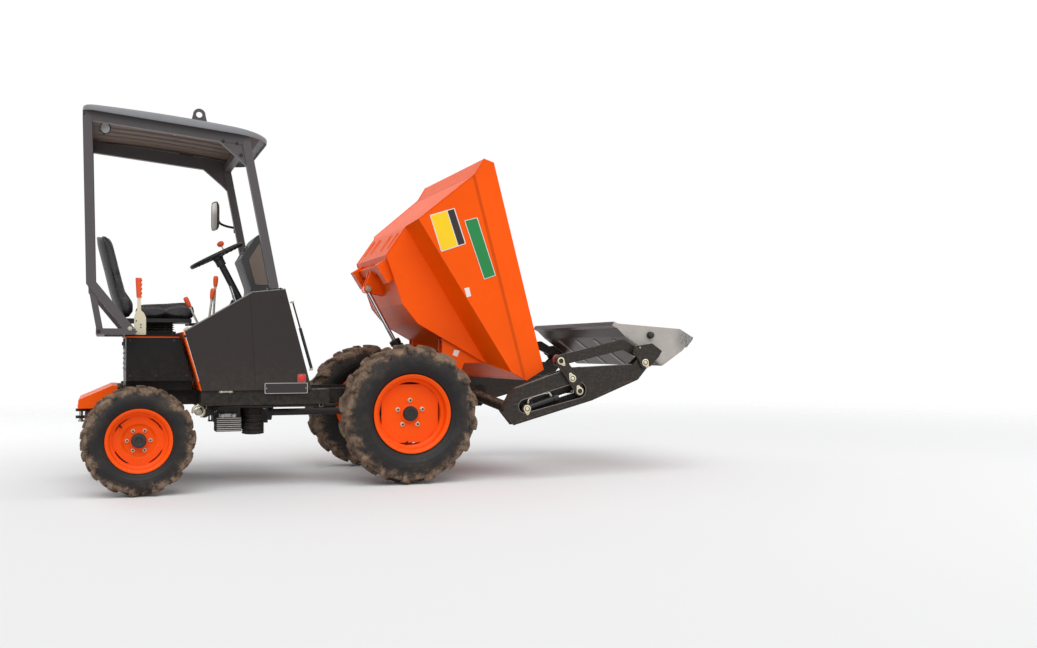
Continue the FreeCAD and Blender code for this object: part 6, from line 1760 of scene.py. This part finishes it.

# %% [markdown]
# Gland nuts close each ram's barrel, with a wiper round the rod, and two port bosses stand on it. The shovel gets weld
# beads, wear strips below the floor, a round rubber stop on each cheek, and plough bolts along the cutting edge.

# %% Rams and shovel
def gland(centre, way, radius, rod):
    """A collar with a chamfer, then a dark wiper ring round the rod."""
    return (lathe([(-0.0355, radius + 0.0010), (-0.0345, radius + 0.0022), (-0.0030, radius + 0.0022), (0.0008, radius - 0.001),
                   (0.0008, rod + 0.004)], centre, way, 48),
            lathe([(0.0, rod + 0.0055), (0.0040, rod + 0.0050), (0.0055, rod + 0.0010)], centre, way, 36))


def ram_dress(name, body, base, eye, ys, size, rod):
    """Gland, wiper and two port bosses for each barrel of a ram, from its two pins in X and Z."""
    start, end = np.array([base[0], 0, base[1]]), np.array([eye[0], 0, eye[1]])
    way = unit(end - start)
    up = np.array([-way[2], 0, way[0]])
    up = up if up[2] > 0 else -up
    collars, wipers, ports = [], [], []
    for y in ys:
        tip = start + [0, y, 0] + way * size["length"]
        collar, wiper = gland(tip, way, size["radius"] + 0.003, rod)
        collars.append(collar)
        wipers.append(wiper)
        for along in (size["eye"] + 0.030, size["length"] - 0.052):
            spot = start + [0, y, 0] + way * along + up * (size["radius"] - 0.003)
            ports.append(lathe([(0, 0.0105), (0.011, 0.0105), (0.0125, 0.009)], spot, up, 24))
    piece(name + "_glands", collars, ram_black, body, sharp=40)
    piece(name + "_wipers", wipers, rubber_black, body, sharp=50)
    piece(name + "_ports", ports, ram_black, body, sharp=40)


ram_dress("tip_ram", "tip_barrel", (0.270, 0.530), (-0.137, 1.261), (0,), {"radius": 0.033, "length": 0.438, "eye": 0.026}, 0.014)
ram_dress("lift_ram", "lift_barrels", (0.140, 0.420), (0.515, 0.400), (-0.2, 0.2), {"radius": 0.027, "length": 0.262, "eye": 0.024}, 0.015)
ram_dress("tilt_ram", "tilt_barrels", (0.739, 0.465), (1.103, 0.575), (-0.737, 0.737), {"radius": 0.023, "length": 0.240, "eye": 0.024}, 0.012)

stops, blade_bolts, wear, shovel_beads = [], [], [], []
for side in (-1, 1):
    stops.append(lathe([(0, 0.0240), (0.010, 0.0240), (0.012, 0.0225), (0.030, 0.0205), (0.0335, 0.0170), (0.0345, 0.003)],
                       (1.660, side * 0.7165, 0.945), (0, side, 0), 36))
    shovel_beads.append(weld([(x, side * 0.7175, z) for x, z in ((1.4800, 0.9420), (1.7550, 0.7450), (1.9080, 0.8470))], 0.0030, 0.008))
    shovel_beads.append(weld([(x, side * 0.7815, z) for x, z in ((1.6400, 0.8895), (1.7125, 0.8395), (1.6895, 0.7990))], 0.0030, 0.008))
toe, tip = np.array([1.911, 0, 0.844]), np.array([1.990, 0, 0.934])
run = unit(tip - toe)
down = np.array([run[2], 0, -run[0]])
for k in range(9):
    spot = toe + run * 0.062 + down * 0.0140 + np.array([0, -0.640 + 0.160 * k, 0])
    blade_bolts.append(lathe([(-0.001, 0.0115), (0.0030, 0.0110), (0.0045, 0.0085)], spot, down, 20))
for y in (-0.480, -0.160, 0.160, 0.480):
    heel = np.array([(1.500, 0.9180), (1.5400, 0.8890), (1.700, 0.7745), (1.742, 0.7445)])
    wear.append(strip(heel, 0.0070, y - 0.022, y + 0.022))
piece("shovel_stops", stops, rubber_black, "shovel", sharp=50)
piece("shovel_welds", shovel_beads, shovel_steel_sheen_and_shade, "shovel", sharp=60)
piece("blade_bolts", blade_bolts, edge_steel, "shovel", sharp=40)
piece("shovel_wear_strips", wear, edge_steel, "shovel", bevel=0.001, sharp=40)
print("rams and shovel dressed")
# %% [markdown]
# A plain pale floor and an overcast sky show the machine without telling a story. The floor fades
# out with distance, so that it has no horizon, and it keeps the soft shadow below the machine. The
# backdrop is white only for the camera and for reflections; the light itself stays at a plain level.

# %% Floor, backdrop and light
def pale_floor():
    """A wide floor whose surface gives way to the backdrop from 4 to 12 metres out."""
    shader = Shader("pale_floor")
    offset = shader.moved(centre=(0, 0, 0))
    reach = (shader.axis("X", offset) ** 2.0 + shader.axis("Y", offset) ** 2.0) ** 0.5
    bsdf = shader.node("ShaderNodeBsdfPrincipled", None, {"Base Color": (0.84, 0.84, 0.84, 1), "Roughness": 0.9})
    clear = shader.node("ShaderNodeBsdfTransparent")
    mixed = shader.node("ShaderNodeMixShader", None, {0: reach.ramp(4, 12), 1: bsdf, 2: clear})
    shader.node_output(mixed)
    return shader.material


floor_mesh = bpy.data.meshes.new("floor")
floor_mesh.from_pydata([(-30, -30, 0), (30, -30, 0), (30, 30, 0), (-30, 30, 0)], [], [(0, 1, 2, 3)])
floor_mesh.materials.append(pale_floor())
floor = bpy.data.objects.new("floor", floor_mesh)
bpy.context.scene.collection.objects.link(floor)


def lamp(name, place, turn, energy, size, kind="AREA"):
    """A large soft lamp, or a sun seen through cloud; turn is its pitch and heading in degrees."""
    data = bpy.data.lights.new(name, kind)
    data.energy = energy
    if kind == "SUN":
        data.angle = math.radians(size)
    else:
        data.size = size
    made = bpy.data.objects.new(name, data)
    made.location = place
    made.rotation_euler = (math.radians(turn[0]), 0, math.radians(turn[1]))
    bpy.context.scene.collection.objects.link(made)
    return made


lamp("sun_in_cloud", (-1.5, -3.5, 6.5), (38, -14), 1.9, 60, "SUN")
lamp("lamp_front", (5.5, -4.5, 4.0), (60, 50), 60, 3.5)
lamp("lamp_back", (-5.0, 5.5, 4.5), (55, 222), 80, 4.0)

world = bpy.data.worlds.new("overcast")
world.use_nodes = True
bpy.context.scene.world = world
tree = world.node_tree
tree.nodes.clear()
path = tree.nodes.new("ShaderNodeLightPath")
seen = tree.nodes.new("ShaderNodeMath")
seen.operation = "MAXIMUM"
tree.links.new(path.outputs["Is Camera Ray"], seen.inputs[0])
through = tree.nodes.new("ShaderNodeMath")
through.operation = "MAXIMUM"
tree.links.new(path.outputs["Is Glossy Ray"], through.inputs[0])
tree.links.new(path.outputs["Is Transmission Ray"], through.inputs[1])
tree.links.new(through.outputs[0], seen.inputs[1])
sky, backdrop = tree.nodes.new("ShaderNodeBackground"), tree.nodes.new("ShaderNodeBackground")
sky.inputs["Color"].default_value, sky.inputs["Strength"].default_value = (0.97, 0.98, 1.0, 1), 0.50
backdrop.inputs["Color"].default_value, backdrop.inputs["Strength"].default_value = (1, 1, 1, 1), 1.0
mixed = tree.nodes.new("ShaderNodeMixShader")
tree.links.new(seen.outputs[0], mixed.inputs[0])
tree.links.new(sky.outputs[0], mixed.inputs[1])
tree.links.new(backdrop.outputs[0], mixed.inputs[2])
tree.links.new(mixed.outputs[0], tree.nodes.new("ShaderNodeOutputWorld").inputs["Surface"])
bpy.context.scene.view_settings.view_transform = "Standard"
print("stage set")
